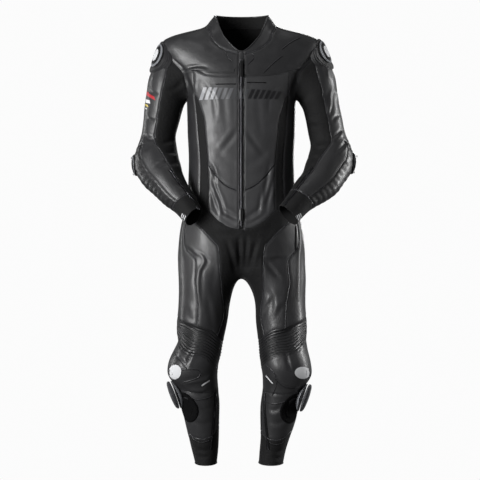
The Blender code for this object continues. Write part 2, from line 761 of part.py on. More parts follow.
def clear_lift(tree, base, frame, width, length, start):
    """Height over the base at which a flat tab of this size clears the skin all along."""
    across, up, out = frame
    highest = 0.0
    for i in range(11):
        for side in (-0.5, 0, 0.5):
            spot = base - up * (start + length * i / 10) + across * (width * side)
            hit = tree.ray_cast(spot + out * 60, -out)[0]
            if hit is not None:
                highest = max(highest, (hit - base).dot(out))
    return highest


def add_zips(tree, collection):
    for name, x, z, out, down, width, length in ZIPS:
        base = on_skin(tree, x, z, out)
        frame = surface_frame(tree, base, down)
        across, up, away = frame
        long = SLIDER_SIZE[2]
        rise = clear_lift(tree, base, frame, SLIDER_SIZE[0], long, -long / 2) + LIFT
        block(name + "_slider", SLIDER_SIZE, base + away * rise, frame, "zip_metal", collection, 1.2)
        over = max(rise + SLIDER_SIZE[1] + LIFT, clear_lift(tree, base, frame, width, length, 0) + LIFT)
        axis = base + away * (over + PULL_THICK / 2) + up * PULL_END
        middle = axis - away * (PULL_THICK / 2) - up * (length / 2 - PULL_END)
        block(name + "_pull", (width, PULL_THICK, length), middle, frame, "zip_metal", collection,
              0.7, origin=axis)
    for name, place, down, width, length in SMALL_PULLS:
        base = tree.find_nearest(Vector(place))[0]
        frame = surface_frame(tree, base, down)
        across, up, away = frame
        over = clear_lift(tree, base, frame, width, length, -2) + LIFT
        axis = base + away * (over + PULL_THICK / 2)
        middle = axis - away * (PULL_THICK / 2) - up * (length / 2 - PULL_END)
        block(name, (width, PULL_THICK, length), middle, frame, "zip_metal", collection,
              0.7, origin=axis)


def add_pocket_welt(skin, normals, tree, collection):
    """The narrow flap under the yoke seam on the left of the zip."""
    (x0, x1), (z0, z1) = POCKET_WELT["x"], POCKET_WELT["z"]
    centre = on_skin(tree, (x0 + x1) / 2, (z0 + z1) / 2, (0, -1, 0))
    frame = view_frame((0, -1, 0))
    wide, high = (x1 - x0) / 2, (z1 - z0) / 2
    outline = [(-wide, -high), (wide, -high), (wide, high), (-wide + high, high)]
    points, there, cells = patch(skin, normals, centre, frame, outline)
    made_points, made = wall(points, there, cells, LIFT + POCKET_WELT["thick"], -LIFT, 0)
    new_object("pocket_welt", made_points, made, "leather", collection)


def main():
    for old in list(bpy.data.objects):
        bpy.data.objects.remove(old)
    collection = bpy.data.collections.new("race_suit")
    bpy.context.scene.collection.children.link(collection)
    skin = build_skin()
    normals = skin.normals()
    tree = BVHTree.FromPolygons(skin.points, [corners for corners, _ in skin.cells])
    cut_panels(skin, normals, collection)
    add_pocket_welt(skin, normals, tree, collection)
    fix_on(skin, normals, tree, SHOULDER_CUP, "shoulder_cup", "leather", collection, LIFT)
    over_cup = 2 * LIFT + SHOULDER_CUP["thick"]
    fix_on(skin, normals, tree, SHOULDER_SLIDER, "shoulder_slider", "hard_plastic", collection,
           over_cup)
    fix_on(skin, normals, tree, ELBOW_SLIDER, "elbow_slider", "hard_plastic", collection, LIFT)
    fix_on(skin, normals, tree, KNEE_PATCH, "knee_patch", "velcro", collection, LIFT)
    over_patch = 2 * LIFT + KNEE_PATCH["thick"]
    fix_on(skin, normals, tree, KNEE_SLIDER, "knee_slider", "hard_plastic", collection,
           over_patch, domed=True)
    add_zips(tree, collection)


main()
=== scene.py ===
import json
import math

import bmesh
import bpy
import numpy as np
from mathutils import Matrix, Vector
from mathutils.bvhtree import BVHTree
from mathutils.kdtree import KDTree

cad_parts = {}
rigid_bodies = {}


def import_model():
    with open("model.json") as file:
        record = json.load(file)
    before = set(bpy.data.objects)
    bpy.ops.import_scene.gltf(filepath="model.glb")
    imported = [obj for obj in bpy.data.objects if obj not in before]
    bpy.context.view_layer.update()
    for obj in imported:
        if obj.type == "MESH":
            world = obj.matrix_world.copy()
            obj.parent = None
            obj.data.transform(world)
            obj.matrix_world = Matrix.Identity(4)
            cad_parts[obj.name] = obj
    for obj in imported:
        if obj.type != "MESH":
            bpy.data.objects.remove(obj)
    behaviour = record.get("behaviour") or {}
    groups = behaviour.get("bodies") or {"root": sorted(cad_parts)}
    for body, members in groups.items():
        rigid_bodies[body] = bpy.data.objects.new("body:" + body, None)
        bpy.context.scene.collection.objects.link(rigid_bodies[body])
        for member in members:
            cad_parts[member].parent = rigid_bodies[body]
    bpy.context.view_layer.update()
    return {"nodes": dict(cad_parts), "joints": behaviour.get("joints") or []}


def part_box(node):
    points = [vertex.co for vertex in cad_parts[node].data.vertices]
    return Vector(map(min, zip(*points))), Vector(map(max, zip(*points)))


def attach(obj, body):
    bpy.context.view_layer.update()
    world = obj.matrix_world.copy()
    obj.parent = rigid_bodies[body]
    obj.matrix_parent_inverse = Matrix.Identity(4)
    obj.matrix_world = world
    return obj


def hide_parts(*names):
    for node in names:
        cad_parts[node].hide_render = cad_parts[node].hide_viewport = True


# One-piece leather race suit, filled out with nobody in it. The fine skin is made from the outer
# faces of the frame's panels, rounded, creased and cut back into the same panels.

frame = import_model()
mm = 0.001


def linearColour(hexColour):
    parts = [int(hexColour[i:i + 2], 16) / 255 for i in (1, 3, 5)]
    return (*[c / 12.92 if c <= 0.04045 else ((c + 0.055) / 1.055) ** 2.4 for c in parts], 1)


def addNode(tree, nodeType, settings=None, inputs=None):
    node = tree.nodes.new(nodeType)
    for name, value in (settings or {}).items():
        setattr(node, name, value)
    for name, value in (inputs or {}).items():
        if isinstance(value, bpy.types.NodeSocket):
            tree.links.new(value, node.inputs[name])
        else:
            node.inputs[name].default_value = value
    return node


def newFinish(name):
    finish = bpy.data.materials.new(name)
    finish.use_nodes = True
    tree = finish.node_tree
    shader = tree.nodes["Principled BSDF"]
    place = addNode(tree, "ShaderNodeTexCoord").outputs["Object"]
    return finish, tree, shader, place


def blendTones(tree, shader, share, dark, light):
    colour = addNode(tree, "ShaderNodeMix", {"data_type": "RGBA"}, {
        0: share, 6: linearColour(dark), 7: linearColour(light)})
    tree.links.new(colour.outputs[2], shader.inputs["Base Color"])


def addBump(tree, height, strength, distance, under=None):
    # distance in mm; under is the bump that this one lies on
    inputs = {"Height": height, "Strength": strength, "Distance": distance * mm}
    if under is not None:
        inputs["Normal"] = under
    return addNode(tree, "ShaderNodeBump", None, inputs).outputs["Normal"]


# full-grain cowhide, drum dyed black: soft sheen from a wax finish, pebbled grain, fine creases
def cowhide(name, dark, light, roughness, grain=2.2, crumple=1.0):
    finish, tree, shader, place = newFinish(name)
    tone = addNode(tree, "ShaderNodeTexNoise", None, {"Vector": place, "Scale": 14, "Detail": 4})
    blendTones(tree, shader, tone.outputs["Fac"], dark, light)
    wear = addNode(tree, "ShaderNodeTexNoise", None, {"Vector": place, "Scale": 45, "Detail": 6})
    gloss = addNode(tree, "ShaderNodeMapRange", None, {
        "Value": wear.outputs["Fac"], "From Min": 0.3, "From Max": 0.7,
        "To Min": roughness - 0.07, "To Max": roughness + 0.09})
    tree.links.new(gloss.outputs[0], shader.inputs["Roughness"])
    # pebbles of about 1 mm in the hide, drawn at 2.2 mm so that they show
    pebble = addNode(tree, "ShaderNodeTexVoronoi", {"feature": "SMOOTH_F1"}, {
        "Vector": place, "Scale": 1 / (grain * mm), "Smoothness": 0.6})
    folds = addNode(tree, "ShaderNodeTexNoise", None, {
        "Vector": place, "Scale": 62, "Detail": 5, "Roughness": 0.62, "Distortion": 1.4})
    foldBump = addBump(tree, folds.outputs["Fac"], 0.42 * crumple, 3.2)
    grainBump = addBump(tree, pebble.outputs["Distance"], 0.16, 0.5, foldBump)
    tree.links.new(grainBump, shader.inputs["Normal"])
    shader.inputs["IOR"].default_value = 1.48
    shader.inputs["Coat Weight"].default_value = 0.25
    shader.inputs["Coat Roughness"].default_value = 0.24
    return finish


# aramid and elastane warp knit: matt, near black, fine ribs of 2.4 mm with a faint sheen
def ribKnit(name, dark, light, rib=2.4):
    finish, tree, shader, place = newFinish(name)
    wales = addNode(tree, "ShaderNodeTexWave", {"bands_direction": "Z"}, {
        "Vector": place, "Scale": 1 / (rib * mm) * 0.16, "Distortion": 0.6, "Detail": 1})
    tone = addNode(tree, "ShaderNodeTexNoise", None, {"Vector": place, "Scale": 24, "Detail": 5})
    blendTones(tree, shader, tone.outputs["Fac"], dark, light)
    slub = addNode(tree, "ShaderNodeTexNoise", None, {
        "Vector": place, "Scale": 70, "Detail": 5, "Distortion": 1.2})
    slubBump = addBump(tree, slub.outputs["Fac"], 0.5, 3)
    ribBump = addBump(tree, wales.outputs["Fac"], 0.35, 0.6, slubBump)
    tree.links.new(ribBump, shader.inputs["Normal"])
    shader.inputs["Roughness"].default_value = 0.78
    shader.inputs["Specular IOR Level"].default_value = 0.35
    shader.inputs["Sheen Weight"].default_value = 0.08
    shader.inputs["Sheen Roughness"].default_value = 0.4
    return finish


# polyester spacer mesh lining: open, dull, with 3 mm cells
def spacerMesh(name, shade):
    finish, tree, shader, place = newFinish(name)
    cells = addNode(tree, "ShaderNodeTexVoronoi", None, {"Vector": place, "Scale": 1 / (3 * mm)})
    blendTones(tree, shader, cells.outputs["Distance"], "#030303", shade)
    tree.links.new(addBump(tree, cells.outputs["Distance"], 0.4, 0.8), shader.inputs["Normal"])
    shader.inputs["Roughness"].default_value = 0.9
    return finish


# moulded polyurethane or nylon: even colour, fine spark texture, soft gloss
def moulded(name, shade, roughness, metallic=0.0):
    finish, tree, shader, place = newFinish(name)
    spark = addNode(tree, "ShaderNodeTexNoise", None, {"Vector": place, "Scale": 900, "Detail": 2})
    scuff = addNode(tree, "ShaderNodeTexNoise", None, {"Vector": place, "Scale": 60, "Detail": 6})
    gloss = addNode(tree, "ShaderNodeMapRange", None, {
        "Value": scuff.outputs["Fac"], "To Min": roughness - 0.06, "To Max": roughness + 0.10})
    tree.links.new(gloss.outputs[0], shader.inputs["Roughness"])
    tree.links.new(addBump(tree, spark.outputs["Fac"], 0.08, 0.3), shader.inputs["Normal"])
    shader.inputs["Base Color"].default_value = linearColour(shade)
    shader.inputs["Metallic"].default_value = metallic
    return finish


# woven or looped nylon: dull, with a fine pile that breaks up the light
def nylonPile(name, shade, thread=1.2):
    finish, tree, shader, place = newFinish(name)
    loops = addNode(tree, "ShaderNodeTexVoronoi", None, {
        "Vector": place, "Scale": 1 / (thread * mm)})
    tree.links.new(addBump(tree, loops.outputs["Distance"], 0.6, 0.6), shader.inputs["Normal"])
    shader.inputs["Base Color"].default_value = linearColour(shade)
    shader.inputs["Roughness"].default_value = 0.92
    shader.inputs["Specular IOR Level"].default_value = 0.2
    return finish


finishes = {
    "leather": cowhide("blackCowhide", "#242425", "#2d2d2f", 0.47, crumple=0.55),
    # chest and belly: the same black leather in a lighter tone, painted light where the key light falls on
    # the front
    "chestLeather": cowhide("chestCowhide", "#323233", "#3c3c3e", 0.5, crumple=0.5),
    "ribbedLeather": cowhide("ribbedCowhide", "#161617", "#1e1e20", 0.46, crumple=0.4),
    "stretch": ribKnit("blackStretchKnit", "#070708", "#0d0d0e"),
    "lining": spacerMesh("spacerMeshLining", "#0c0c0d"),
    # piping and folded edges: leather in a lighter tone, a painted highlight along the seams
    "piping": cowhide("pipingLeather", "#343436", "#424245", 0.3, crumple=0.2),
    "thread": nylonPile("bondedNylonThread", "#38383a", 0.8),
    "zipTape": nylonPile("wovenZipTape", "#0b0b0c"),
    "zipMetal": moulded("blackNickelZip", "#5c5c60", 0.3, 1.0),
    "slider": moulded("mouldedPolyurethane", "#5a5b5e", 0.28),
    "sliderEdge": moulded("polyurethaneEdge", "#8a8c90", 0.34),
    "sliderDark": moulded("darkPolyurethane", "#141415", 0.28),
    "screw": moulded("zincScrew", "#8c8d90", 0.32, 1.0),
    "velcro": nylonPile("loopPile", "#020203"),
    "silver": moulded("silverPrint", "#8d8e92", 0.34),
    "silverMid": moulded("greyPrint", "#5f6063", 0.34),
    "silverDark": moulded("dullPrint", "#3f4042", 0.34),
    "silverFaint": moulded("darkPrint", "#1d1d1f", 0.30),
    "white": moulded("whitePrint", "#d9dadc", 0.42),
    "red": moulded("redPrint", "#b3202a", 0.42),
    "yellow": moulded("yellowPrint", "#c9b23a", 0.42),
}
print("finishes ready")


# from the frame's panels to one skin

clothNodes = [name for name in sorted(frame["nodes"]) if not name.startswith(
    ("shoulder_", "elbow_slider", "knee_patch", "knee_slider", "pocket"))
    and not name.endswith(("_pull", "_pull_left", "_pull_right", "_zip_bottom_slider", "_zip_top_slider"))]
skinSettings = {
    "wallEdge": 0.0034,  # a face with a shorter edge than this is the cut edge of a panel
    "seamGap": 0.0008,  # panels nearer than this are sewn together
    "weld": 0.00002,  # corners of one panel nearer than this are one point
    "clearOf": 0.004,  # a look outwards starts this far off the face
    "lookFor": 0.5,  # and sees this far
    "smoothing": 26,
    "roundOff": (0.5, -0.53),  # in, then out again: facets round off and nothing shrinks
    "ribSmoothing": 40,
    "flatten": (0.5,),
}


def framePolygons():
    points, polygons = [], []
    for node in frame["nodes"].values():
        base = len(points)
        points += [v.co.copy() for v in node.data.vertices]
        polygons += [[base + i for i in p.vertices] for p in node.data.polygons]
    return points, polygons


def outerSide(nodeName, suitTree):
    # the panel without its cut edges falls into an outer and an inner side
    shell = bmesh.new()
    shell.from_mesh(frame["nodes"][nodeName].data)
    bmesh.ops.remove_doubles(shell, verts=shell.verts, dist=skinSettings["weld"])
    rim = [f for f in shell.faces if min(e.calc_length() for e in f.edges) < skinSettings["wallEdge"]]
    bmesh.ops.delete(shell, geom=rim, context="FACES")
    left, sides = set(shell.faces), []
    while left:
        side, todo = [], [left.pop()]
        while todo:
            face = todo.pop()
            side.append(face)
            for edge in face.edges:
                for other in edge.link_faces:
                    if other in left:
                        left.discard(other)
                        todo.append(other)
        sides.append(side)

    def blocked(side):
        hits = 0
        for face in side:
            start = face.calc_center_median() + face.normal * skinSettings["clearOf"]
            hits += suitTree.ray_cast(start, face.normal, skinSettings["lookFor"])[0] is not None
        return hits / len(side)

    sides.sort(key=len, reverse=True)
    outer = min(sides[:2], key=blocked)
    found = [[v.co.copy() for v in face.verts] for face in outer]
    count = len(sides)
    shell.free()
    return found, count


def gatherSkin():
    suitTree = BVHTree.FromPolygons(*framePolygons())
    work = bmesh.new()
    layer = work.faces.layers.int.new("panel")
    for number, nodeName in enumerate(clothNodes):
        faces, count = outerSide(nodeName, suitTree)
        if count != 2:
            print("sides of", nodeName, count)
        for corners in faces:
            face = work.faces.new([work.verts.new(c) for c in corners])
            face[layer] = number
    bmesh.ops.remove_doubles(work, verts=work.verts, dist=skinSettings["seamGap"])
    bmesh.ops.triangulate(work, faces=work.faces)
    work.verts.index_update()
    points = np.array([v.co for v in work.verts])
    triangles = np.array([[v.index for v in f.verts] for f in work.faces])
    panels = np.array([f[layer] for f in work.faces])
    print("open edges", sum(e.is_boundary for e in work.edges), "faces", len(triangles))
    work.free()
    return points, triangles, panels


def skinNormals(points, triangles):
    a, b, c = (points[triangles[:, i]] for i in range(3))
    facing = np.cross(b - a, c - a)
    normals = np.zeros_like(points)
    for i in range(3):
        np.add.at(normals, triangles[:, i], facing)
    return normals / np.maximum(np.linalg.norm(normals, axis=1, keepdims=True), 1e-12)


def skinEdges(triangles):
    pairs = np.sort(triangles[:, [0, 1, 1, 2, 2, 0]].reshape(-1, 2), axis=1)
    edges, edgeOf, uses = np.unique(pairs, axis=0, return_inverse=True, return_counts=True)
    return edges, edgeOf.reshape(-1, 3), uses


def refine(points, triangles, panels):
    # every edge gets a middle point, bowed out by how its two ends' normals lean apart
    normals = skinNormals(points, triangles)
    edges, edgeOf, _ = skinEdges(triangles)
    a, b = edges.T
    along = points[b] - points[a]
    bow = (normals[b] * (normals[b] * along).sum(1, keepdims=True)
           - normals[a] * (normals[a] * along).sum(1, keepdims=True))
    middles = (points[a] + points[b]) / 2 + bow / 8
    (t0, t1, t2), (m0, m1, m2) = triangles.T, (edgeOf + len(points)).T
    quarters = [(t0, m0, m2), (m0, t1, m1), (m2, m1, t2), (m0, m1, m2)]
    return (np.concatenate([points, middles]),
            np.concatenate([np.stack(q, axis=1) for q in quarters]), np.tile(panels, 4))


def smoothSkin(points, triangles, rounds, steps, held):
    # held points stay; each step moves the others that share of the way to their neighbours' middle
    edges, _, _ = skinEdges(triangles)
    a, b = edges.T
    count = np.bincount(edges.ravel(), minlength=len(points))[:, None]
    for _ in range(rounds):
        for step in steps:
            total = np.stack([
                np.bincount(a, points[b, i], len(points)) + np.bincount(b, points[a, i], len(points))
                for i in range(3)], axis=1)
            shift = total / np.maximum(count, 1) - points
            shift[held] = 0
            points = points + shift * step
    return points


def panelIds(*starts):
    return [i for i, name in enumerate(clothNodes) if name.startswith(starts)]


def buildSkin():
    points, triangles, panels = gatherSkin()
    for _ in range(2):
        points, triangles, panels = refine(points, triangles, panels)
    edges, _, uses = skinEdges(triangles)
    hems = np.unique(edges[uses == 1])
    points = smoothSkin(points, triangles, skinSettings["smoothing"], skinSettings["roundOff"], hems)
    ribs = np.isin(panels, panelIds("knee_ribs"))
    held = np.ones(len(points), bool)
    held[np.unique(triangles[ribs])] = False
    held[np.unique(triangles[~ribs])] = True
    points = smoothSkin(points, triangles, skinSettings["ribSmoothing"], skinSettings["flatten"], held)
    return refine(points, triangles, panels)


skinPoints, skinTriangles, skinPanels = buildSkin()
print("skin has", len(skinTriangles), "triangles")


# creases: depth and width in mm, then the (x, z) of the line in mm, seen from the front or back

torsoCreases = {
    "front": [
        (2.4, 9, [(-66, -412), (-40, -378), (-13, -344)]),
        (2.6, 9, [(72, -420), (44, -384), (14, -342)]),
        (1.8, 12, [(-93, -402), (-50, -436), (-14, -452)]),
        (2.0, 12, [(94, -396), (50, -438), (11, -455)]),
        (3.5, 5, [(-106, -446), (-90, -478), (-83, -517)]),
        (3, 5, [(-97, -498), (-82, -537), (-71, -570)]),
        (3.5, 5, [(-103, -530), (-93, -569), (-84, -608)]),
        (3, 4.5, [(-90, -560), (-80, -592), (-76, -624)]),
        (3, 5, [(-74, -552), (-63, -589), (-57, -621)]),
        (4, 7, [(92, -452), (80, -520), (70, -560)]),
        (3, 6, [(102, -500), (86, -570), (80, -612)]),
        (3, 5, [(64, -540), (58, -590), (50, -620)]),
        (4, 8, [(-66, -600), (-31, -624), (-8, -631)]),
        (4, 8, [(66, -592), (31, -618), (8, -628)]),
        (3, 6, [(-68, -628), (-34, -644), (-11, -648)]),
        (3, 6, [(70, -622), (38, -640), (12, -646)]),
        (-4.5, 6, [(-192, -152), (-168, -144), (-140, -141), (-114, -145)]),
        (-3, 6, [(157, -147), (180, -138), (209, -123)]),
        (3.5, 7, [(-187, -157), (-172, -190), (-157, -226)]),
        (3.5, 7, [(190, -160), (174, -192), (160, -226)]),
        (2.5, 7, [(-128, -190), (-92, -240), (-84, -300)]),
        (2.5, 7, [(122, -186), (94, -235), (86, -290)]),
        (1.2, 10, [(-60, -200), (-54, -280), (-48, -350)]),
        (1.2, 10, [(52, -210), (56, -290), (62, -360)]),
        (7, 8, [(-10, -690), (-7, -735), (-6, -800)]),
        (6, 8, [(16, -694), (13, -740), (8, -800)]),
        (4.5, 8, [(-50, -700), (-33, -751), (-20, -806)]),
        (4.5, 8, [(50, -700), (34, -751), (20, -806)]),
        (3.5, 10, [(-118, -672), (-60, -682), (-10, -680)]),
        (3.5, 10, [(116, -668), (60, -680), (12, -678)]),
    ],
    "back": [
        (6, 10, [(-100, -388), (-40, -406), (30, -402), (94, -384)]),
        (7, 12, [(-90, -432), (-30, -454), (40, -448), (92, -428)]),
        (6, 10, [(-96, -474), (-30, -496), (36, -492), (98, -470)]),
        (3.5, 9, [(-110, -530), (-50, -552), (10, -548)]),
        (3.5, 9, [(112, -520), (60, -542), (22, -546)]),
        (4, 9, [(-172, -186), (-144, -220), (-130, -262)]),
        (4, 9, [(172, -184), (146, -218), (132, -260)]),
        (3, 9, [(-60, -120), (-24, -140), (20, -138), (62, -116)]),
        (3, 10, [(-120, -300), (-60, -330), (-10, -336)]),
        (3, 10, [(118, -296), (58, -328), (14, -338)]),
        (3.5, 8, [(-4, -640), (-2, -700), (0, -760)]),
        (4, 9, [(-52, -818), (-90, -802), (-126, -780)]),
        (4, 9, [(54, -818), (92, -804), (128, -782)]),
        (3.5, 9, [(-130, -640), (-80, -655), (-30, -650)]),
        (3.5, 9, [(130, -636), (80, -652), (30, -648)]),
    ],
}
sleeveCreases = {
    "front": [
        (3.5, 6, [(-311, -192), (-298, -212), (-275, -222)]),
        (3.5, 7, [(-324, -289), (-304, -304), (-281, -306)]),
        (4, 7, [(-331, -345), (-308, -363), (-286, -367)]),
        (4.5, 6, [(-278, -455), (-260, -452), (-240, -446)]),
        (4, 8, [(-219, -360), (-238, -373), (-258, -376)]),
        (4, 8, [(-208, -400), (-229, -410), (-250, -408)]),
        (3.5, 8, [(-205, -440), (-222, -448), (-240, -446)]),
        (3, 7, [(-196, -490), (-214, -484), (-228, -470)]),
        (3, 7, [(-178, -520), (-196, -520), (-214, -510)]),
        (3, 8, [(-192, -176), (-215, -198), (-240, -205)]),
        (-3.5, 6, [(289, -126), (285, -146), (287, -166)]),
        (-3.5, 5, [(306, -193), (293, -218), (292, -253), (283, -289)]),
        (-3, 5, [(309, -204), (317, -222), (322, -240)]),
        (3.5, 6, [(328, -278), (314, -291), (298, -304)]),
        (4, 6, [(338, -328), (314, -352), (298, -362)]),
        (4, 6, [(347, -370), (331, -393), (311, -410)]),
        (4, 6, [(232, -388), (252, -400), (277, -393)]),
        (3.5, 7, [(202, -298), (225, -317), (254, -326)]),
        (3.5, 7, [(214, -420), (236, -430), (258, -428)]),
        (3, 7, [(196, -480), (214, -476), (232, -464)]),
        (3, 7, [(180, -512), (198, -512), (214, -502)]),
    ],
    "back": [
        (4, 8, [(-312, -206), (-286, -226), (-256, -232)]),
        (4, 8, [(-318, -300), (-290, -318), (-262, -318)]),
        (4, 8, [(-214, -372), (-240, -382), (-266, -378)]),
        (3.5, 7, [(-206, -430), (-232, -438), (-262, -430)]),
        (3.5, 7, [(-188, -500), (-214, -494), (-240, -478)]),
        (4, 8, [(316, -204), (290, -224), (260, -230)]),
        (4, 8, [(326, -300), (298, -316), (268, -318)]),
        (4, 8, [(218, -370), (246, -382), (274, -378)]),
        (3.5, 7, [(208, -426), (236, -436), (268, -428)]),
        (3.5, 7, [(190, -496), (216, -490), (244, -474)]),
    ],
}
legCreases = {
    "front": [
        (-3.6, 5, [(-156, -738), (-130, -750), (-121, -772), (-136, -797), (-140, -842), (-137, -914)]),
        (3.5, 5, [(-184, -720), (-168, -735), (-150, -754)]),
        (1.5, 10, [(-77, -771), (-94, -840), (-90, -894)]),
        (3, 6, [(-186, -932), (-170, -950), (-156, -964)]),
        (3, 6, [(-188, -912), (-174, -930), (-158, -940)]),
        (2.5, 8, [(-112, -880), (-102, -940), (-94, -985)]),
        (4, 7, [(75, -768), (99, -795), (123, -822)]),
        (3.5, 7, [(65, -746), (88, -764), (136, -758)]),
        (3, 7, [(65, -955), (84, -916), (108, -882)]),
        (3, 7, [(108, -962), (122, -930), (152, -898)]),
        (-3.5, 6, [(191, -700), (188, -771), (185, -894)]),
        (3, 9, [(84, -858), (98, -900), (96, -960)]),
        (4, 7, [(-190, -1181), (-171, -1197), (-135, -1202), (-103, -1191)]),
        (-3, 6, [(-192, -1168), (-161, -1160), (-122, -1154), (-99, -1142)]),
        (4, 7, [(109, -1155), (138, -1181), (181, -1187), (205, -1176)]),
        (3.5, 6, [(-223, -1062), (-208, -1082), (-192, -1094), (-175, -1116)]),
        (3, 6, [(-160, -1058), (-171, -1083), (-179, -1108)]),
        (3, 6, [(142, -1062), (151, -1096), (160, -1131)]),
        (3, 7, [(-142, -1238), (-120, -1252), (-98, -1252)]),
        (3, 7, [(132, -1242), (110, -1256), (90, -1254)]),
        (2.5, 8, [(-152, -1290), (-125, -1302), (-102, -1296)]),
        (2.5, 8, [(150, -1285), (120, -1300), (96, -1294)]),
        (2.5, 8, [(-152, -1386), (-125, -1393), (-100, -1388)]),
        (2.5, 8, [(150, -1389), (124, -1397), (96, -1390)]),
        (2.5, 7, [(-150, -1408), (-128, -1414), (-106, -1410)]),
        (2.5, 7, [(146, -1410), (122, -1418), (100, -1411)]),
    ],
    "back": [
        (4.5, 9, [(-206, -1046), (-160, -1060), (-112, -1050)]),
        (4.5, 9, [(-208, -1084), (-162, -1098), (-114, -1090)]),
        (4, 8, [(-204, -1122), (-160, -1134), (-112, -1126)]),
        (4.5, 9, [(196, -1046), (150, -1060), (102, -1050)]),
        (4.5, 9, [(198, -1086), (152, -1100), (104, -1090)]),
        (4, 8, [(194, -1124), (150, -1136), (104, -1128)]),
        (3.5, 9, [(-190, -850), (-140, -868), (-90, -862)]),
        (3.5, 9, [(184, -852), (134, -868), (84, -862)]),
        (3, 9, [(-186, -940), (-140, -954), (-100, -948)]),
        (3, 9, [(178, -942), (132, -956), (92, -948)]),
        (3, 8, [(-184, -1300), (-150, -1312), (-116, -1306)]),
        (3, 8, [(172, -1300), (138, -1312), (104, -1306)]),
        (3, 8, [(-166, -1392), (-136, -1402), (-106, -1396)]),
        (3, 8, [(156, -1394), (126, -1404), (96, -1396)]),
    ],
}


def smoothLine(corners, spacing=6.0):
    # a curve through the corners, as points about one spacing apart
    corners = np.array(corners, float)
    ends = np.concatenate([[2 * corners[0] - corners[1]], corners, [2 * corners[-1] - corners[-2]]])
    made = []
    for p0, p1, p2, p3 in zip(ends, ends[1:], ends[2:], ends[3:]):
        steps = max(2, int(np.linalg.norm(p2 - p1) / spacing))
        for i in range(steps):
            t = i / steps
            made.append(0.5 * (2 * p1 + (p2 - p0) * t + (2 * p0 - 5 * p1 + 4 * p2 - p3) * t**2
                               + (3 * p1 - p0 - 3 * p2 + p3) * t**3))
    return np.array([*made, corners[-1]])


# in widths of the crease; the lip's height is a share of the trough's depth
creaseProfile = {"lip": 0.55, "lipAt": 1.7, "lipWidth": 1.1, "reach": 4, "endFade": 0.6}


def creaseHeight(seen, facing, crease):
    # how far one crease moves each point: a trough with a raised lip beside it, fading at its ends
    depth, width, corners = crease
    line = smoothLine(corners)
    reach = creaseProfile["reach"] * width
    low, high = line.min(0) - reach, line.max(0) + reach
    near = np.flatnonzero(((seen > low) & (seen < high)).all(1) & (facing > 0))
    height = np.zeros(len(seen))
    if not len(near):
        return height
    along = np.concatenate([[0], np.cumsum(np.linalg.norm(np.diff(line, axis=0), axis=1))])
    best, side, place = np.full(len(near), 1e9), np.zeros(len(near)), np.zeros(len(near))
    for i in range(len(line) - 1):
        step, off = line[i + 1] - line[i], seen[near] - line[i]
        t = np.clip(off @ step / (step @ step), 0, 1)
        gap = off - t[:, None] * step
        distance = np.linalg.norm(gap, axis=1)
        closer = distance < best
        best = np.where(closer, distance, best)
        side = np.where(closer, step[0] * gap[:, 1] - step[1] * gap[:, 0], side)
        place = np.where(closer, along[i] + t * np.linalg.norm(step), place)
    s = best * np.sign(side) / width
    fade = np.sin(np.pi * np.clip(place / along[-1], 0.02, 0.98)) ** creaseProfile["endFade"]
    lip = np.exp(-(((s - creaseProfile["lipAt"]) / creaseProfile["lipWidth"]) ** 2))
    shape = -np.exp(-(s**2)) + creaseProfile["lip"] * lip
    height[near] = depth * shape * fade * facing[near]
    return height


def allCreases(points, normals, names):
    # names: the node name that each point belongs to, as a number in clothNodes
    height = np.zeros(len(points))
    seen = points[:, [0, 2]] / mm
    groups = (
        (torsoCreases, panelIds("back", "belly", "chest", "collar", "main_zip", "pelvis", "seat",
                                "side_", "yoke", "zip_garage")),
        (sleeveCreases, panelIds("sleeve", "elbow", "cuff")),
        (legCreases, panelIds("thigh", "knee", "shin", "calf", "gaiter", "pelvis", "seat")),
    )
    for table, ids in groups:
        inside = np.isin(names, ids)
        for view, sign in (("front", -1), ("back", 1)):
            facing = np.clip((sign * normals[:, 1] + 0.05) / 0.4, 0, 1) * inside
            for crease in table[view]:
                height += creaseHeight(seen, facing, crease)
    return height * mm


def pointPanels(points, triangles, panels):
    names = np.zeros(len(points), int)
    for i in range(3):
        names[triangles[:, i]] = panels
    return names


def seamSet(triangles, panels):
    edges, edgeOf, uses = skinEdges(triangles)
    low, high = np.full(len(edges), 10**6), np.full(len(edges), -1)
    for i in range(3):
        np.minimum.at(low, edgeOf[:, i], panels)
        np.maximum.at(high, edgeOf[:, i], panels)
    return edges[low != high], low[low != high], high[low != high]


def distanceFrom(spots, points):
    tree = KDTree(len(spots))
    for i, p in enumerate(spots):
        tree.insert(p, i)
    tree.balance()
    return np.array([tree.find(p)[2] for p in points])


seamProfile = {"groove": 1.3, "width": 2.4, "puff": 0.5, "puffAt": 7.0, "puffWidth": 4.5}  # mm


def seamHeight(points, seamPoints):
    away = distanceFrom(seamPoints, points) / mm
    groove = -seamProfile["groove"] * np.exp(-((away / seamProfile["width"]) ** 2))
    puff = seamProfile["puff"] * np.exp(-(((away - seamProfile["puffAt"]) / seamProfile["puffWidth"]) ** 2))
    return (groove + puff) * mm


baseNormals = skinNormals(skinPoints, skinTriangles)
skinNames = pointPanels(skinPoints, skinTriangles, skinPanels)
seamEdges, seamLow, seamHigh = seamSet(skinTriangles, skinPanels)
seamSpots = skinPoints[np.unique(seamEdges)]
skinHeight = allCreases(skinPoints, baseNormals, skinNames) + seamHeight(skinPoints, seamSpots)
shapedPoints = skinPoints + baseNormals * skinHeight[:, None]
skinTree = BVHTree.FromPolygons(shapedPoints.tolist(), skinTriangles.tolist())
print("creases and seams shaped")


# panels

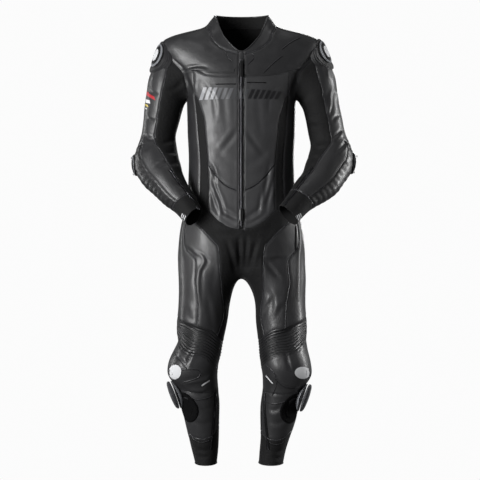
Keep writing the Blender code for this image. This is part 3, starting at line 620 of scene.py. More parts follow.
def finishOf(nodeName):
    if nodeName.startswith(("side_strip", "pelvis", "sleeve_inner", "cuff", "gaiter", "calf")):
        return "stretch", "stretch", 1.4
    if nodeName.startswith(("knee_ribs", "elbow_panel")):
        return "ribbedLeather", "ribbed_leather", 1.6
    if nodeName == "main_zip_tape":
        return "zipTape", "zip_tape", 1.4
    # chest and belly panels take the lighter leather, painted light for the lit front
    if nodeName.startswith(("chest", "belly")):
        return "chestLeather", "leather", 1.6
    return "leather", "leather", 3.0 if nodeName == "collar" else 1.6


def meshPiece(name, points, triangles, finishNames):
    mesh = bpy.data.meshes.new(name)
    mesh.from_pydata(np.asarray(points).tolist(), [], np.asarray(triangles).tolist())
    for finishName in finishNames:
        mesh.materials.append(finishes[finishName])
    piece = bpy.data.objects.new(name, mesh)
    bpy.context.scene.collection.objects.link(piece)
    return piece


def selectOnly(piece):
    bpy.ops.object.select_all(action="DESELECT")
    bpy.context.view_layer.objects.active = piece
    piece.select_set(True)


def finishUp(piece, slotName, sharp, nodeName=None, body="suit"):
    # edges steeper than sharp degrees stay crisp
    piece.data.shade_smooth()
    piece.data.set_sharp_from_angle(angle=math.radians(sharp))
    if nodeName:
        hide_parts(nodeName)
    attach(piece, body)


def applyAll(piece):
    selectOnly(piece)
    for modifier in list(piece.modifiers):
        bpy.ops.object.modifier_apply(modifier=modifier.name)


def camelName(nodeName, ending=""):
    first, *rest = nodeName.split("_")
    return first + "".join(word.capitalize() for word in rest) + ending


ribSettings = {"knee_ribs": (10, 2.3), "elbow_panel": (13, 0.9)}  # ribs and their height in mm
ribLevel = 0.45  # the share of a rib that is under the panel's own level
ribFade = 9  # ribs are at full height this many mm in from the panel's edge
elbowEnd = 0.012  # the upper end of the elbow panel is the top 12 mm of its seam


def ribHeight(nodeName, points, triangles):
    # ribs run across the panel: their place is the share of the way from its upper to its lower end
    start = nodeName.rsplit("_", 1)[0]
    count, height = ribSettings[start]
    side = nodeName.rsplit("_", 1)[1]
    above, below = {
        "knee_ribs": (("thigh_front_" + side, "thigh_outer_" + side, "pelvis_panel"),
                      ("knee_cup_" + side,)),
        "elbow_panel": (("sleeve_top_" + side,), ("cuff_" + side,)),
    }[start]
    own = clothNodes.index(nodeName)

    def distanceTo(names):
        ids = [clothNodes.index(n) for n in names]
        chosen = [e for e, lo, hi in zip(seamEdges, seamLow, seamHigh)
                  if own in (lo, hi) and (lo in ids or hi in ids)]
        spots = skinPoints[np.unique(chosen)]
        if start == "elbow_panel" and names[0].startswith("sleeve_top"):
            spots = spots[spots[:, 2] > spots[:, 2].max() - elbowEnd]
        return distanceFrom(spots, points)

    upper, lower = distanceTo(above), distanceTo(below)
    share = upper / (upper + lower)
    edges, _, uses = skinEdges(triangles)
    inwards = distanceFrom(points[np.unique(edges[uses == 1])], points) / mm
    wave = np.sin(np.pi * count * share) ** 2 - ribLevel
    return height * wave * np.clip(inwards / ribFade, 0, 1) * mm


# flat sizes are estimates: a curve's allowance on the length, and the share of its length by width
# that a cut panel fills
flatSettings = {"curve": 1.04, "fill": 0.78}


def clothPanel(number, nodeName):
    own = skinTriangles[skinPanels == number]
    used, own = np.unique(own, return_inverse=True)
    own = own.reshape(-1, 3)
    points = shapedPoints[used]
    if nodeName.startswith(tuple(ribSettings)):
        points, own, _ = refine(points, own, np.zeros(len(own), int))
        normals = skinNormals(points, own)
        points = points + normals * ribHeight(nodeName, points, own)[:, None]
    finishName, slotName, thick = finishOf(nodeName)
    ending = "" if "panel" in nodeName or "tape" in nodeName else "Panel"
    piece = meshPiece(camelName(nodeName, ending), points, own, [finishName, "lining"])
    wall = piece.modifiers.new("wall", "SOLIDIFY")
    wall.thickness, wall.offset, wall.material_offset = thick * mm, -1, 1
    wall.material_offset_rim = 0
    applyAll(piece)
    a, b, c = (points[own[:, i]] for i in range(3))
    area = np.linalg.norm(np.cross(b - a, c - a), axis=1).sum() / 2
    spread = points - points.mean(0)
    axis = np.linalg.svd(spread, full_matrices=False)[2][0]
    length = float(np.ptp(spread @ axis)) * flatSettings["curve"]
    width = float(area / (length * flatSettings["fill"]))
    finishUp(piece, slotName, 55, nodeName)
    print("sheet", piece.name, "flat", round(width, 3), round(length, 3), "area", round(float(area), 4))


for number, nodeName in enumerate(clothNodes):
    clothPanel(number, nodeName)
print("panels cut")


# lines along the seams: chains of skin points, and even steps along them

def chainsOf(edgeList):
    ways = {}
    for a, b in edgeList:
        ways.setdefault(int(a), []).append(int(b))
        ways.setdefault(int(b), []).append(int(a))
    chains = []
    for start in sorted(ways, key=lambda p: (len(ways[p]) == 2, p)):
        while ways[start]:
            chain = [start]
            while ways[chain[-1]]:
                after = ways[chain[-1]].pop()
                ways[after].remove(chain[-1])
                chain.append(after)
                if len(ways[after]) != 1:
                    break
            chains.append(chain)
    return chains


def evenSteps(points, spacing):
    points = np.asarray(points, float)
    gaps = np.linalg.norm(np.diff(points, axis=0), axis=1)
    along = np.concatenate([[0], np.cumsum(gaps)])
    count = max(2, int(round(along[-1] / spacing)) + 1)
    places = np.linspace(0, along[-1], count)
    return np.stack([np.interp(places, along, points[:, i]) for i in range(3)], axis=1)


def softened(points, rounds=3):
    points = np.array(points, float)
    for _ in range(rounds):
        points[1:-1] = (points[:-2] + 2 * points[1:-1] + points[2:]) / 4
    return points


def seamChains(first, second, shortest=0.02):
    pair = sorted((clothNodes.index(first), clothNodes.index(second)))
    chosen = seamEdges[(seamLow == pair[0]) & (seamHigh == pair[1])]
    lines = [shapedPoints[chain] for chain in chainsOf(chosen) if len(chain) > 2]
    return [line for line in lines if np.linalg.norm(np.diff(line, axis=0), axis=1).sum() > shortest]


def onSkin(x, z, view=(0, 1, 0)):
    # where a line of sight through (x, z) in mm meets the suit, and which way it faces there
    direction = Vector(view).normalized()
    start = Vector((x, 0, z)) * mm - direction * 0.6
    hit, normal, _, _ = skinTree.ray_cast(start, direction)
    if hit is None:
        hit, normal, _, _ = skinTree.find_nearest(Vector((x * mm, -0.06, z * mm)))
    return hit, normal


def laidLine(corners, lift=0.4, view=(0, 1, 0)):
    line = []
    for x, z in smoothLine(corners, 5.0):
        hit, normal = onSkin(x, z, view)
        line.append(hit + normal * lift * mm)
    return softened(line, 2)


def cordPiece(name, lines, radius, finishName, closed=False, lift=0.0):
    # round cord, all the lines in one piece
    curve = bpy.data.curves.new(name, "CURVE")
    curve.dimensions, curve.bevel_depth, curve.bevel_resolution = "3D", radius * mm, 2
    curve.use_fill_caps = not closed
    for line in lines:
        line = softened(evenSteps(line, 4 * mm), 2)
        if lift:
            line = [Vector(p) + skinTree.find_nearest(Vector(p))[1] * lift * mm for p in line]
        spline = curve.splines.new("POLY")
        spline.points.add(len(line) - 1)
        for point, place in zip(spline.points, line):
            point.co = (*place, 1)
        spline.use_cyclic_u = closed
    curve.materials.append(finishes[finishName])
    cord = bpy.data.objects.new(name, curve)
    bpy.context.scene.collection.objects.link(cord)
    selectOnly(cord)
    bpy.ops.object.convert(target="MESH")
    cord.data.shade_smooth()
    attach(cord, "suit")


pipedSeams = {
    # pairs of panels with a folded leather edge in their seam, and its radius in mm; the cord's lighter
    # tone is a painted highlight
    "sleevePipingLeft": (1.3, [("sleeve_top_left", "sleeve_inner_left")]),
    "sleevePipingRight": (1.1, [("sleeve_top_right", "sleeve_inner_right")]),
    "cuffPiping": (1.4, [("cuff_left", "elbow_panel_left"), ("cuff_left", "sleeve_inner_left"),
                         ("cuff_left", "sleeve_top_left"), ("cuff_right", "elbow_panel_right"),
                         ("cuff_right", "sleeve_inner_right"), ("cuff_right", "sleeve_top_right")]),
    "zipEdgePiping": (1.2, [("main_zip_tape", "chest_left"), ("main_zip_tape", "chest_right"),
                            ("main_zip_tape", "belly_left"), ("main_zip_tape", "belly_right"),
                            ("main_zip_tape", "yoke_left"), ("main_zip_tape", "yoke_right")]),
    "thighPiping": (1.2, [("thigh_front_left", "pelvis_panel"), ("thigh_front_right", "pelvis_panel"),
                          ("thigh_front_left", "thigh_outer_left"),
                          ("thigh_front_right", "thigh_outer_right")]),
    "shinPiping": (1.3, [("shin_left", "gaiter_left"), ("shin_right", "gaiter_right"),
                         ("shin_left", "calf_left"), ("shin_right", "calf_right")]),
    "collarPiping": (1.2, [("collar", "yoke_left"), ("collar", "yoke_right"), ("collar", "back")]),
}
for name, (radius, pairs) in pipedSeams.items():
    lines = [line for pair in pairs for line in seamChains(*pair)]
    cordPiece(name, lines, radius, "piping", lift=1.1)
print("piping laid")

openEdges, _, edgeUses = skinEdges(skinTriangles)
hemRadius = {"neckEdge": 2.2, "cuffEdge": 1.7, "ankleEdge": 1.6}
neckAbove, cuffAbove = -0.2, -1.0  # the hems' heights tell them apart
hemLines = {"neckEdge": [], "cuffEdge": [], "ankleEdge": []}
for chain in chainsOf(openEdges[edgeUses == 1]):
    line = shapedPoints[chain[:-1] if chain[0] == chain[-1] else chain]
    height = line[:, 2].mean()
    edgeName = "neckEdge" if height > neckAbove else "cuffEdge" if height > cuffAbove else "ankleEdge"
    hemLines[edgeName].append(line)
for name, lines in hemLines.items():
    cloth = "leather" if name == "neckEdge" else "stretch"
    cordPiece(name, lines, hemRadius[name], cloth, closed=True)
    print(name, len(lines))


# seams that lie inside a panel: a dark join with its folded edge just above it, the edge a lighter cord
# that paints its highlight, (x, z) in mm
innerSeams = [
    [(-51, -88), (-42, -110), (-31, -120)],
    [(35, -94), (43, -104), (22, -128)],
    [(71, -157), (99, -128), (133, -99)],
    [(133, -76), (161, -53), (192, -36)],
    [(-109, -455), (-85, -490), (-57, -520), (-19, -538)],
    [(104, -455), (80, -487), (46, -520), (12, -537)],
    [(-221, -1066), (-209, -1084), (-195, -1096), (-178, -1116)],
    [(-162, -1062), (-171, -1083), (-180, -1104)],
    [(-195, -1121), (-161, -1119), (-136, -1121), (-130, -1133), (-142, -1148), (-168, -1158),
     (-189, -1163)],
    [(144, -1064), (151, -1096), (160, -1126)],
    [(80, -1109), (109, -1135), (114, -1171), (100, -1207)],
    [(109, -1150), (138, -1176), (178, -1182)],
    [(73, -1226), (99, -1236), (129, -1233), (149, -1224)],
    [(-171, -1340), (-152, -1362), (-128, -1366), (-107, -1360)],
    [(79, -1355), (100, -1372), (127, -1373), (143, -1362)],
    [(-84, -1186), (-98, -1212), (-148, -1222), (-166, -1212)],
]
innerLines = [laidLine(seam) for seam in innerSeams]
cordPiece("innerSeamJoins", innerLines, 0.9, "zipTape")
cordPiece("innerSeamEdges", [laidLine([(x, z + 2.2) for x, z in seam]) for seam in innerSeams],
          0.9, "piping")
cordPiece("pocketStrips", [laidLine(seam) for seam in (
    [(-84, -193), (-18, -193)], [(17, -188), (79, -188)])], 1.6, "zipTape")
cordPiece("hipZip", [laidLine([(179, -653), (179, -699), (178, -733)])], 2.2, "zipTape")


def raisedBlock(points, quads, middle, reach, side, rise, layers):
    # a small block, four corners to a layer; a layer is its height in rises and its share of the width
    base = len(points)
    for up, share in layers:
        for x, y in ((-share, -share), (share, -share), (share, share), (-share, share)):
            points.append(middle + rise * up + reach * x + side * y)
    quads.append([base + 3, base + 2, base + 1, base])
    for low in (base, base + 4):
        quads += [[low + i, low + (i + 1) % 4, low + 4 + (i + 1) % 4, low + 4 + i] for i in range(4)]
    quads.append([base + 8, base + 9, base + 10, base + 11])


stitchSettings = {"pitch": 4.6, "length": 3.0, "width": 0.9, "height": 0.55, "away": 3.4, "innerAway": 2.6,
                  "layers": ((-0.3, 1.0), (0.6, 1.0), (1.0, 0.45))}


def stitchRows(points, quads, lines, offsets):
    size = stitchSettings
    for line in lines:
        spots = evenSteps(line, size["pitch"] * mm)
        for here, after in zip(spots, spots[1:]):
            tangent = Vector(after - here).normalized()
            middle = Vector((here + after) / 2)
            across = skinTree.find_nearest(middle)[1].cross(tangent)
            for offset in offsets:
                foot, normal, _, _ = skinTree.find_nearest(middle + across * offset * mm)
                side = normal.cross(tangent).normalized() * size["width"] * mm / 2
                reach = tangent * size["length"] * mm / 2
                rise = normal * size["height"] * mm
                raisedBlock(points, quads, foot, reach, side, rise, size["layers"])


shortestSeam = 6  # in points
plainSeams = [shapedPoints[chain] for chain in chainsOf(seamEdges) if len(chain) > shortestSeam]
stitchPoints, stitchQuads = [], []
stitchRows(stitchPoints, stitchQuads, plainSeams, (-stitchSettings["away"], stitchSettings["away"]))
stitchRows(stitchPoints, stitchQuads, innerLines, (stitchSettings["innerAway"],))
topStitching = meshPiece("topStitching", stitchPoints, stitchQuads, ["thread"])
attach(topStitching, "suit")
print("stitches", len(stitchQuads) // 10)


# pieces fixed on the suit take its form from a smooth bowl fitted to the skin under them

def facingFrame(facing):
    out = Vector(facing).normalized()
    along = (Vector((0, 0, 1)) - out * out.z).normalized()
    return Matrix((along.cross(out), along, out)).transposed()


bowlSettings = {"steps": 4, "look": 50, "depth": 120, "corner": 18, "levelAt": 18}  # mm, but steps


def fittedForm(middle, facing, half):
    # looks at the skin from a grid of spots, 'look' mm out, and leaves out the grid's corners
    turn = facingFrame(facing)
    out = turn @ Vector((0, 0, 1))
    middle = Vector(middle) * mm
    rows, heights = [], []
    steps, corner = bowlSettings["steps"], bowlSettings["corner"]
    look, depth = bowlSettings["look"] * mm, bowlSettings["depth"] * mm
    for i in range(-steps, steps + 1):
        for j in range(-steps, steps + 1):
            across, along = i / steps * half[0] * mm, j / steps * half[1] * mm
            hit = skinTree.ray_cast(middle + turn @ Vector((across, along, look)), -out, depth)[0]
            if hit is not None and i * i + j * j < corner:
                rows.append((1, across, along, across * across, across * along, along * along))
                heights.append((hit - middle).dot(out))
    fit = np.linalg.lstsq(np.array(rows), np.array(heights), rcond=None)[0]

    def place(across, along, height):
        # a thick piece is level on top
        flat = max(0.0, 1 - max(height, 0) / (bowlSettings["levelAt"] * mm))
        bowl = float(np.dot(fit, (1, across, along, flat * across * across, flat * across * along,
                                  flat * along * along)))
        return middle + turn @ Vector((across, along, bowl + height))

    return place


def roundPiece(name, settings, place, offset=(0, 0), startHeight=-1.5):
    # an oval plate, raised ring by ring: (share of the oval, rise in mm, finish number)
    half, rings = settings["half"], settings["rings"]
    bpy.ops.object.select_all(action="DESELECT")
    bpy.ops.mesh.primitive_circle_add(vertices=settings.get("sides", 44), radius=mm, fill_type="NGON",
                                      location=(offset[0] * mm, offset[1] * mm, startHeight * mm))
    piece = bpy.context.active_object
    piece.name = piece.data.name = name
    bpy.ops.object.transform_apply(location=True)
    bpy.ops.object.mode_set(mode="EDIT")
    bpy.ops.mesh.select_all(action="SELECT")
    bpy.ops.transform.resize(value=(half[0], half[1], 1))
    for finishName in settings["finishes"]:
        piece.data.materials.append(finishes[finishName])
    share = 1.0
    for nextShare, rise, finishNumber in rings:
        piece.active_material_index = finishNumber
        bpy.ops.mesh.extrude_region_move(TRANSFORM_OT_translate={"value": (0, 0, rise * mm)})
        scale = nextShare / share
        bpy.ops.transform.resize(value=(scale, scale, 1))
        bpy.ops.mesh.select_more()
        bpy.ops.object.material_slot_assign()
        bpy.ops.mesh.select_less()
        share = nextShare
    bpy.ops.mesh.select_all(action="SELECT")
    bpy.ops.mesh.normals_make_consistent(inside=False)
    bpy.ops.object.mode_set(mode="OBJECT")
    for vertex in piece.data.vertices:
        vertex.co = place(*vertex.co)
    finishUp(piece, settings["slot"], 34)
    return piece


shoulderCup = {"half": (44, 56), "finishes": ["leather"], "slot": "leather", "rings": [
    (1.0, 3.0, 0), (0.985, 2.0, 0), (0.94, 1.6, 0), (0.88, 0.7, 0), (0.82, -0.4, 0), (0.78, -0.4, 0),
    (0.72, 0.5, 0), (0.6, 0.3, 0), (0.4, 0, 0), (0.15, 0, 0)]}
shoulderSlider = {"half": (30, 42), "finishes": ["sliderDark", "sliderEdge", "white"],
                  "slot": "hard_plastic", "rings": [
    (1.0, 5.6, 0), (0.985, 1.6, 0), (0.94, 1.5, 1), (0.9, 0.8, 1), (0.87, -0.9, 0), (0.83, -0.2, 0),
    (0.79, 1.3, 0), (0.66, 1.0, 0), (0.52, 0.7, 0), (0.5, 0.1, 2), (0.3, 0.5, 2), (0.1, 0.1, 2)]}
elbowSlider = {"half": (27, 36), "finishes": ["sliderDark", "sliderEdge"], "slot": "hard_plastic",
               "rings": [(1.0, 4.0, 0), (0.98, 1.4, 0), (0.93, 1.4, 1), (0.89, 0.8, 0), (0.86, -0.8, 0),
                         (0.82, -0.1, 0), (0.78, 1.2, 0), (0.6, 1.1, 0), (0.35, 0.7, 0), (0.1, 0.1, 0)]}
kneePatch = {"half": (40, 50), "finishes": ["velcro"], "slot": "velcro", "rings": [
    (1.0, 2.6, 0), (0.985, 0.7, 0), (0.95, 0.3, 0), (0.9, -0.3, 0), (0.6, 0.1, 0), (0.3, 0, 0),
    (0.1, 0, 0)]}
kneeSlider = {"half": (34, 47), "finishes": ["slider", "sliderEdge", "sliderDark"], "slot": "hard_plastic",
              "rings": [(1.02, 3.0, 2), (1.0, 5.0, 0), (0.985, 0.9, 1), (0.985, 1.5, 1), (1.0, 0.9, 1),
                        (1.0, 12.5, 0), (0.985, 2.8, 0), (0.95, 2.2, 0), (0.89, 1.7, 0), (0.8, 1.3, 0),
                        (0.66, 1.1, 0), (0.45, 0.8, 0), (0.25, 0.4, 0), (0.08, 0.1, 0)]}
sliderScrew = {"half": (3.4, 3.4), "finishes": ["screw"], "slot": "zip_metal", "sides": 20, "rings": [
    (1.0, 1.2, 0), (0.86, 0.7, 0), (0.52, 0.1, 0), (0.46, -0.9, 0), (0.1, 0, 0)]}
plateSunk = 1.5  # a plate starts this many mm under the skin
screwSunk = 1.6
screwReach = 0.012  # a screw sits on the highest point of its plate this near
fixedPieces = [
    # node, settings, middle on the left and right in mm, facing on the right, lift, screws along
    ("shoulder_cup", shoulderCup, (-282, -20, -92), (284, -20, -80), (0.90, -0.16, 0.40), 0, ()),
    ("shoulder_slider", shoulderSlider, (-284, -20, -86), (286, -20, -72), (0.90, -0.16, 0.40), 1.5,
     (-32, 32)),
    ("elbow_slider", elbowSlider, (-357, -8, -452), (373, -8, -446), (0.96, 0.05, -0.26), 0, (-27, 27)),
    ("knee_patch", kneePatch, (-182, -70, -1248), (168, -70, -1252), (0.74, -0.67, 0), 1.4, ()),
    ("knee_slider", kneeSlider, (-208, -42, -1208), (196, -42, -1218), (0.86, -0.50, -0.06), 0, ()),
]
for nodeStart, settings, leftMiddle, rightMiddle, facing, lift, screws in fixedPieces:
    for side, middle, sign in (("left", leftMiddle, -1), ("right", rightMiddle, 1)):
        out = (sign * facing[0], facing[1], facing[2])
        place = fittedForm(middle, out, settings["half"])
        nodeName = nodeStart + "_" + side
        piece = roundPiece(camelName(nodeName), settings, place, startHeight=lift - plateSunk)
        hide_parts(nodeName)
        for number, along in enumerate(screws):
            foot = place(0, along * mm, 0)
            height = max((v.co - foot).dot(Vector(out).normalized())
                         for v in piece.data.vertices if (v.co - foot).length < screwReach)
            roundPiece(camelName(nodeName, "Screw" + "AB"[number]), sliderScrew, place,
                       offset=(0, along), startHeight=height / mm - screwSunk)
print("sliders and pads fixed")


# the pull tabs hang on their own bodies; width, thickness and length in mm
pullSizes = {"main_zip_top_pull": (9, 1.8, 56), "main_zip_bottom_pull": (11, 1.8, 40),
             "calf_zip_pull_left": (7, 1.8, 20), "calf_zip_pull_right": (7, 1.8, 20),
             "wrist_zip_pull_left": (7, 1.8, 17), "wrist_zip_pull_right": (7, 1.8, 17)}


def pickFaces(piece, wanted):
    # in edit mode, selects the faces that wanted(middle, normal) accepts
    work = bmesh.from_edit_mesh(piece.data)
    for face in work.faces:
        face.select_set(wanted(face.calc_center_median(), face.normal))
    work.select_flush_mode()
    bmesh.update_edit_mesh(piece.data)


tabSettings = {"overAxis": 0.9, "bevel": 0.45, "frame": 0.16, "lip": 0.3, "dish": 0.35, "headShare": 0.7,
               "ringRadius": 1.2, "ringWire": 0.4, "ringUnder": 0.8, "darkFrom": 30}


def pullTab(nodeName, size):
    # made upright with the hinge axis at the origin, then turned to its place
    width, thick, length = (s * mm for s in size)
    joint = next(j for j in frame["joints"] if j["name"] == nodeName + "_hinge")
    origin = Vector(joint["pos_m"])
    axis = Vector(joint["axis"]).normalized()
    low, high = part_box(nodeName)
    up = (origin - (Vector(low) + Vector(high)) / 2).normalized()
    out = up.cross(axis).normalized()
    bpy.ops.object.select_all(action="DESELECT")
    form = {name: value * mm for name, value in tabSettings.items()}
    bpy.ops.mesh.primitive_cube_add(size=1, location=(0, 0, form["overAxis"] - length / 2))
    tab = bpy.context.active_object
    tab.name = tab.data.name = camelName(nodeName, "Tab")
    tab.scale = (width, thick, length)
    bpy.ops.object.transform_apply(location=True, scale=True)
    bpy.ops.object.mode_set(mode="EDIT")
    bpy.ops.mesh.select_all(action="SELECT")
    bpy.ops.mesh.bevel(offset=form["bevel"], segments=2)
    pickFaces(tab, lambda middle, normal: abs(normal.y) > 0.9 and abs(middle.y) > 0.4 * thick)
    bpy.ops.mesh.inset(thickness=width * tabSettings["frame"], use_individual=True)
    bpy.ops.mesh.inset(thickness=form["lip"], depth=-form["dish"], use_individual=True)
    pickFaces(tab, lambda middle, normal: middle.z > form["lip"])
    bpy.ops.transform.resize(value=(tabSettings["headShare"], 1, 1))
    bpy.ops.object.mode_set(mode="OBJECT")
    tab.data.materials.append(finishes["sliderDark" if length > form["darkFrom"] else "zipMetal"])
    bpy.ops.object.select_all(action="DESELECT")
    bpy.ops.mesh.primitive_torus_add(
        major_radius=form["ringRadius"], minor_radius=form["ringWire"], major_segments=20, minor_segments=8,
        location=(0, 0, -form["ringUnder"]), rotation=(0, math.pi / 2, 0))
    ring = bpy.context.active_object
    bpy.ops.object.transform_apply(rotation=True, location=True)
    ring.data.materials.append(finishes["zipMetal"])
    tab.select_set(True)
    bpy.context.view_layer.objects.active = tab
    bpy.ops.object.join()
    turn = Matrix((out.cross(up), out, up)).transposed().to_4x4()
    turn.translation = origin
    tab.data.transform(turn)
    finishUp(tab, "zip_metal", 35, nodeName, nodeName)


for nodeName, size in pullSizes.items():
    pullTab(nodeName, size)


# zip bodies on the main zip: a bevelled block, waisted, with a raised bridge for the tab
def zipSlider(nodeName):
    low, high = (Vector(c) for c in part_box(nodeName))
    middle, size = (low + high) / 2, high - low
    bpy.ops.object.select_all(action="DESELECT")
    bpy.ops.mesh.primitive_cube_add(size=1, location=middle)
    body = bpy.context.active_object
    body.name = body.data.name = camelName(nodeName, "Body")
    body.scale = size * 0.96
    bpy.ops.object.transform_apply(location=True, scale=True)
    bpy.ops.object.mode_set(mode="EDIT")
    pickFaces(body, lambda place, normal: normal.z < -0.9)
    bpy.ops.transform.resize(value=(0.72, 1, 1))
    bpy.ops.mesh.select_all(action="SELECT")
    bpy.ops.mesh.bevel(offset=min(size) * 0.18, segments=2)
    pickFaces(body, lambda place, normal: normal.y < -0.95)
    bpy.ops.mesh.inset(thickness=min(size.x, size.z) * 0.16)
    bpy.ops.mesh.inset(thickness=0.2 * mm, depth=-0.4 * mm)
    bpy.ops.object.mode_set(mode="OBJECT")
    body.data.materials.append(finishes["zipMetal"])
    finishUp(body, "zip_metal", 32, nodeName)


for nodeName in ("main_zip_top_slider", "main_zip_bottom_slider"):
    zipSlider(nodeName)


toothSettings = {"stagger": 0.3, "length": 0.36, "layers": ((-0.5, 1.0), (0.7, 1.0), (1.0, 0.7))}


def zipTeeth(name, line, width, pitch, height):
    # small moulded teeth, left and right in turn, along a line on the suit; sizes in mm
    points, quads = [], []
    spots = evenSteps(line, pitch * mm)
    for number, (here, after) in enumerate(zip(spots, spots[1:])):
        tangent = Vector(after - here).normalized()
        foot, normal, _, _ = skinTree.find_nearest(Vector((here + after) / 2))
        across = normal.cross(tangent).normalized() * width * mm / 2
        middle = foot + across * (toothSettings["stagger"] if number % 2 else -toothSettings["stagger"])
        reach = tangent * pitch * toothSettings["length"] * mm
        raisedBlock(points, quads, middle, reach, across, normal * height * mm, toothSettings["layers"])
    teeth = meshPiece(name, points, quads, ["zipMetal"])
    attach(teeth, "suit")


# across the tape: the place as a share of half its width, and the share of its thickness there
ribbonProfile = ((-1, 0.4), (-0.8, 0.9), (-0.3, 1.0), (0.3, 1.0), (0.8, 0.9), (1, 0.4))
ribbonSunk = 0.4  # mm


def ribbonPiece(name, lines, width, thick, finishName, slotName, lift=0.3):
    # flat tape on the suit, rounded a little across
    points, quads = [], []
    for line in lines:
        spots = evenSteps(line, 4 * mm)
        rows = []
        for number, spot in enumerate(spots):
            before, after = spots[max(number - 1, 0)], spots[min(number + 1, len(spots) - 1)]
            tangent = Vector(after - before).normalized()
            normal = skinTree.find_nearest(Vector(spot))[1]
            across = normal.cross(tangent).normalized()
            row = []
            for share, fullness in ribbonProfile:
                foot, facing, _, _ = skinTree.find_nearest(Vector(spot) + across * share * width / 2 * mm)
                row.append((foot, facing, lift + thick * fullness))
            rows.append(row)
        base, wide = len(points), len(ribbonProfile)
        points += [foot + facing * crown * mm for row in rows for foot, facing, crown in row]
        points += [foot - facing * ribbonSunk * mm for row in rows for foot, facing, _ in row]
        under = base + len(rows) * wide
        for i in range(len(rows) - 1):
            for j in range(wide - 1):
                a = base + i * wide + j
                quads.append([a, a + 1, a + wide + 1, a + wide])
                b = under + i * wide + j
                quads.append([b, b + wide, b + wide + 1, b + 1])
            for a, b, turned in ((base + i * wide, under + i * wide, False),
                                 (base + i * wide + wide - 1, under + i * wide + wide - 1, True)):
                quad = [a, a + wide, b + wide, b]
                quads.append(quad[::-1] if turned else quad)
        for i, turned in ((0, True), (len(rows) - 1, False)):
            for j in range(wide - 1):
                a, b = base + i * wide + j, under + i * wide + j
                quad = [a, a + 1, b + 1, b]
                quads.append(quad if turned else quad[::-1])
    piece = meshPiece(name, points, quads, [finishName])
    selectOnly(piece)
    bpy.ops.object.mode_set(mode="EDIT")
    bpy.ops.mesh.select_all(action="SELECT")
    bpy.ops.mesh.normals_make_consistent(inside=False)
    bpy.ops.object.mode_set(mode="OBJECT")
    finishUp(piece, slotName, 50)


tapeLow, tapeHigh = (Vector(c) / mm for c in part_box("main_zip_tape"))
tapeMiddle = (tapeLow.x + tapeHigh.x) / 2
endGap = 4  # the teeth end this many mm short of the tape
zipLine = laidLine([(tapeMiddle, z) for z in np.linspace(tapeHigh.z - endGap, tapeLow.z + endGap, 12)], 0)
zipTeeth("mainZipTeeth", zipLine, 5.5, 2.6, 1.3)

smallZips = {"forearm": {"tape": 11, "tooth": 4.0}, "calf": {"tape": 12, "tooth": 4.2},
             "thick": 0.9, "pitch": 2.4, "height": 2.0}


def smallZip(place, side, line):
    size = smallZips[place]
    ribbonPiece(place + "ZipTape" + side, [line], size["tape"], smallZips["thick"], "zipTape", "zip_tape")
    zipTeeth(place + "ZipTeeth" + side, line, size["tooth"], smallZips["pitch"], smallZips["height"])


forearmZips = {"Left": [(-233, -470), (-208, -506), (-169, -555), (-148, -578)],
               "Right": [(231, -462), (206, -498), (170, -547), (149, -570)]}
for side, corners in forearmZips.items():
    smallZip("forearm", side, laidLine(corners, 0))
calfZipRun = {"above": 64, "below": 128, "spots": 30, "under": 3}  # mm from the spot, but spots
# a spot on each calf's zip in mm, and which way is up the zip and out of the leg there
calfZips = {"Left": ((-88.6, -58.54, -1261.7), (0.0781, -0.0433, 0.996), (0.871, -0.4831, -0.0893)),
            "Right": ((77.1, -57.3, -1261.6), (-0.0563, -0.0308, 0.9979), (-0.8753, -0.4792, -0.0642))}
for side, (middle, up, out) in calfZips.items():
    line = []
    for along in np.linspace(calfZipRun["above"], -calfZipRun["below"], calfZipRun["spots"]):
        spot = (Vector(middle) + Vector(up) * along - Vector(out) * calfZipRun["under"]) * mm
        line.append(skinTree.find_nearest(spot)[0])
    smallZip("calf", side, softened(line))
print("zips fitted")


filmSettings = {"ovalSteps": 14, "step": 2.5, "strayed": 30, "sunk": 0.3}  # mm, but ovalSteps


# heat-pressed film in plain shapes: kind, middle (x, z), half width, half height, lean and slope in mm,
# finish number; a point that lands 'strayed' mm from the middle's depth is set on the nearest skin
def filmPiece(name, shapes, finishNames, thick=0.5, view=(0, 1, 0), slotName="hard_plastic"):
    points, normals, quads, finishOfQuad = [], [], [], []
    for kind, (x, z), halfWidth, halfHeight, (lean, slope), finishNumber in shapes:
        base, first = len(points), onSkin(x, z, view)[0]
        across, down = (
            filmSettings["ovalSteps"] if kind == "oval" else max(3, int(half / filmSettings["step"]))
            for half in (halfWidth, halfHeight))
        for j in range(down + 1):
            for i in range(across + 1):
                u, v = 2 * i / across - 1, 2 * j / down - 1
                if kind == "oval":
                    u, v = u * math.sqrt(1 - v * v / 2), v * math.sqrt(1 - u * u / 2)
                placeX, placeZ = x + u * halfWidth + v * lean, z + v * halfHeight + u * slope
                hit, normal = onSkin(placeX, placeZ, view)
                if abs(hit.y - first.y) > filmSettings["strayed"] * mm:
                    hit, normal, _, _ = skinTree.find_nearest(Vector((placeX * mm, first.y, placeZ * mm)))
                points.append(hit)
                normals.append(normal)
        wide = across + 1
        for j in range(down):
            for i in range(across):
                a = base + j * wide + i
                quads.append([a, a + 1, a + wide + 1, a + wide])
                finishOfQuad.append(finishNumber)
    points = [p + n * (thick * mm) for p, n in zip(points, normals)]
    piece = meshPiece(name, points, quads, finishNames)
    for polygon, finishNumber in zip(piece.data.polygons, finishOfQuad):
        polygon.material_index = finishNumber
    wall = piece.modifiers.new("wall", "SOLIDIFY")
    wall.thickness, wall.offset = (thick + filmSettings["sunk"]) * mm, -1
    applyAll(piece)
    finishUp(piece, slotName, 50)
    return piece


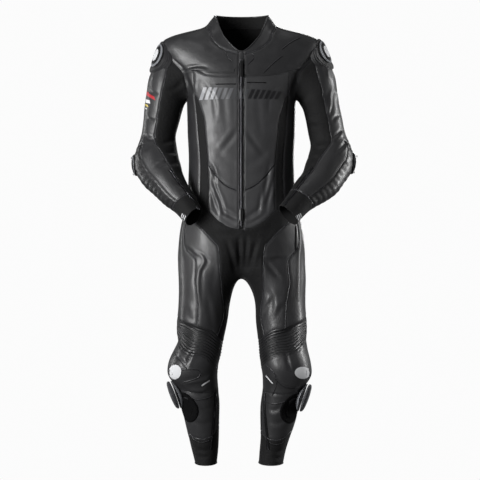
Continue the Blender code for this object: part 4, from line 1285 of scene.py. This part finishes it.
chestBars = [("bar", (-126 + 17.5 * i, -222 - 0.4 * i), 5.6, 20 - 0.5 * i, (7, 0), min(i // 3, 3))
             for i in range(15)]
filmPiece("chestBars", chestBars, ["silver", "silverMid", "silverDark", "silverFaint"])
filmPiece("armStripes", [
    ("bar", (-292, -222), 24, 6.5, (-3, -11), 0), ("bar", (-302, -240), 13, 6.0, (-2, -3), 1),
    ("bar", (-307, -253), 9, 3.6, (-2, -3), 2), ("bar", (-310, -263), 6, 2.0, (-1, -2), 1)],
    ["red", "white", "yellow"], view=(0.35, 1, 0))
filmPiece("kneeOvals", [
    ("oval", (-217, -1129), 21, 24, (3, 0), 0), ("oval", (199, -1131), 26, 20, (-3, 0), 0)], ["white"])
filmPiece("kneeSlashes", [
    ("bar", (-117, -1165), 13, 2.4, (0, 8), 0), ("bar", (91, -1155), 11, 2.4, (0, -12), 0)], ["white"])
filmPiece("cuffBars", [("bar", (-193 + 5.2 * i, -622 - 3.4 * i), 1.5, 8, (3, 0), 0) for i in range(4)]
          + [("bar", (176 + 5.2 * i, -631 + 3.4 * i), 1.5, 8, (-3, 0), 0) for i in range(4)], ["white"])
weltLow, weltHigh = (Vector(c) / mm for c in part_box("pocket_welt"))
weltMiddle = ((weltLow.x + weltHigh.x) / 2, (weltLow.z + weltHigh.z) / 2)
welt = filmPiece("pocketWelt", [
    ("bar", weltMiddle, (weltHigh.x - weltLow.x) / 2 - 3, (weltHigh.z - weltLow.z) / 2, (3, 0), 0)],
    ["leather"], thick=1.9, slotName="leather")
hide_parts("pocket_welt")
print("prints pressed on")


# camera, light and floor

studio = {"cameraPlace": (-0.005, -4.5, -0.699), "lens": 101.35, "floor": -1.475}

camera = bpy.data.objects.new("camera", bpy.data.cameras.new("camera"))
bpy.context.scene.collection.objects.link(camera)
camera.location = studio["cameraPlace"]
camera.rotation_euler = (math.radians(90), 0, 0)
camera.data.lens = studio["lens"]
camera.data.sensor_width = 36
bpy.context.scene.camera = camera


def softBox(name, place, aim, size, power):
    light = bpy.data.lights.new(name, "AREA")
    light.shape, light.size, light.size_y, light.energy = "RECTANGLE", size[0], size[1], power
    box = bpy.data.objects.new(name, light)
    bpy.context.scene.collection.objects.link(box)
    box.location = place
    box.rotation_euler = (Vector(aim) - Vector(place)).to_track_quat("-Z", "Y").to_euler()


softBox("keyLight", (-2.5, -2.6, -0.1), (-0.05, 0, -0.75), (1.3, 2.4), 150)
softBox("rimLight", (2.3, 0.5, -0.2), (0.15, 0, -0.6), (0.3, 2.0), 46)
softBox("leftRim", (-2.4, 1.2, -0.3), (-0.1, 0, -0.6), (0.4, 2.0), 16)
softBox("topLight", (0, -0.4, 2.2), (0, 0, -0.6), (1.2, 1.2), 6)
softBox("backLight", (0.8, 3.4, 0.4), (0, 0, -0.7), (1.4, 2.2), 70)

world = bpy.data.worlds.new("studioAir")
bpy.context.scene.world = world
world.use_nodes = True
world.node_tree.nodes["Background"].inputs["Color"].default_value = (1, 1, 1, 1)
world.node_tree.nodes["Background"].inputs["Strength"].default_value = 0.10
bpy.context.scene.view_settings.view_transform = "Standard"


def paleStage(name):
    # matt white paper, lit evenly: it shows to the camera and throws no light on the suit
    paper = bpy.data.materials.new("whitePaper")
    paper.use_nodes = True
    tree = paper.node_tree
    tree.nodes.clear()
    glow = addNode(tree, "ShaderNodeEmission", None, {"Color": (1, 1, 1, 1), "Strength": 0.97})
    addNode(tree, "ShaderNodeOutputMaterial", None, {"Surface": glow.outputs[0]})
    bpy.ops.object.select_all(action="DESELECT")
    bpy.ops.mesh.primitive_uv_sphere_add(segments=64, ring_count=32, radius=14, location=(0, 0, 0))
    sky = bpy.context.active_object
    sky.name = name
    bpy.ops.object.mode_set(mode="EDIT")
    bpy.ops.mesh.select_all(action="SELECT")
    bpy.ops.mesh.bisect(plane_co=(0, 0, studio["floor"]), plane_no=(0, 0, 1), use_fill=True,
                        clear_inner=True)
    bpy.ops.object.mode_set(mode="OBJECT")
    sky.data.materials.append(paper)
    for ray in ("visible_diffuse", "visible_glossy", "visible_transmission", "visible_shadow"):
        setattr(sky, ray, False)


paleStage("paperStage")
print("studio ready")
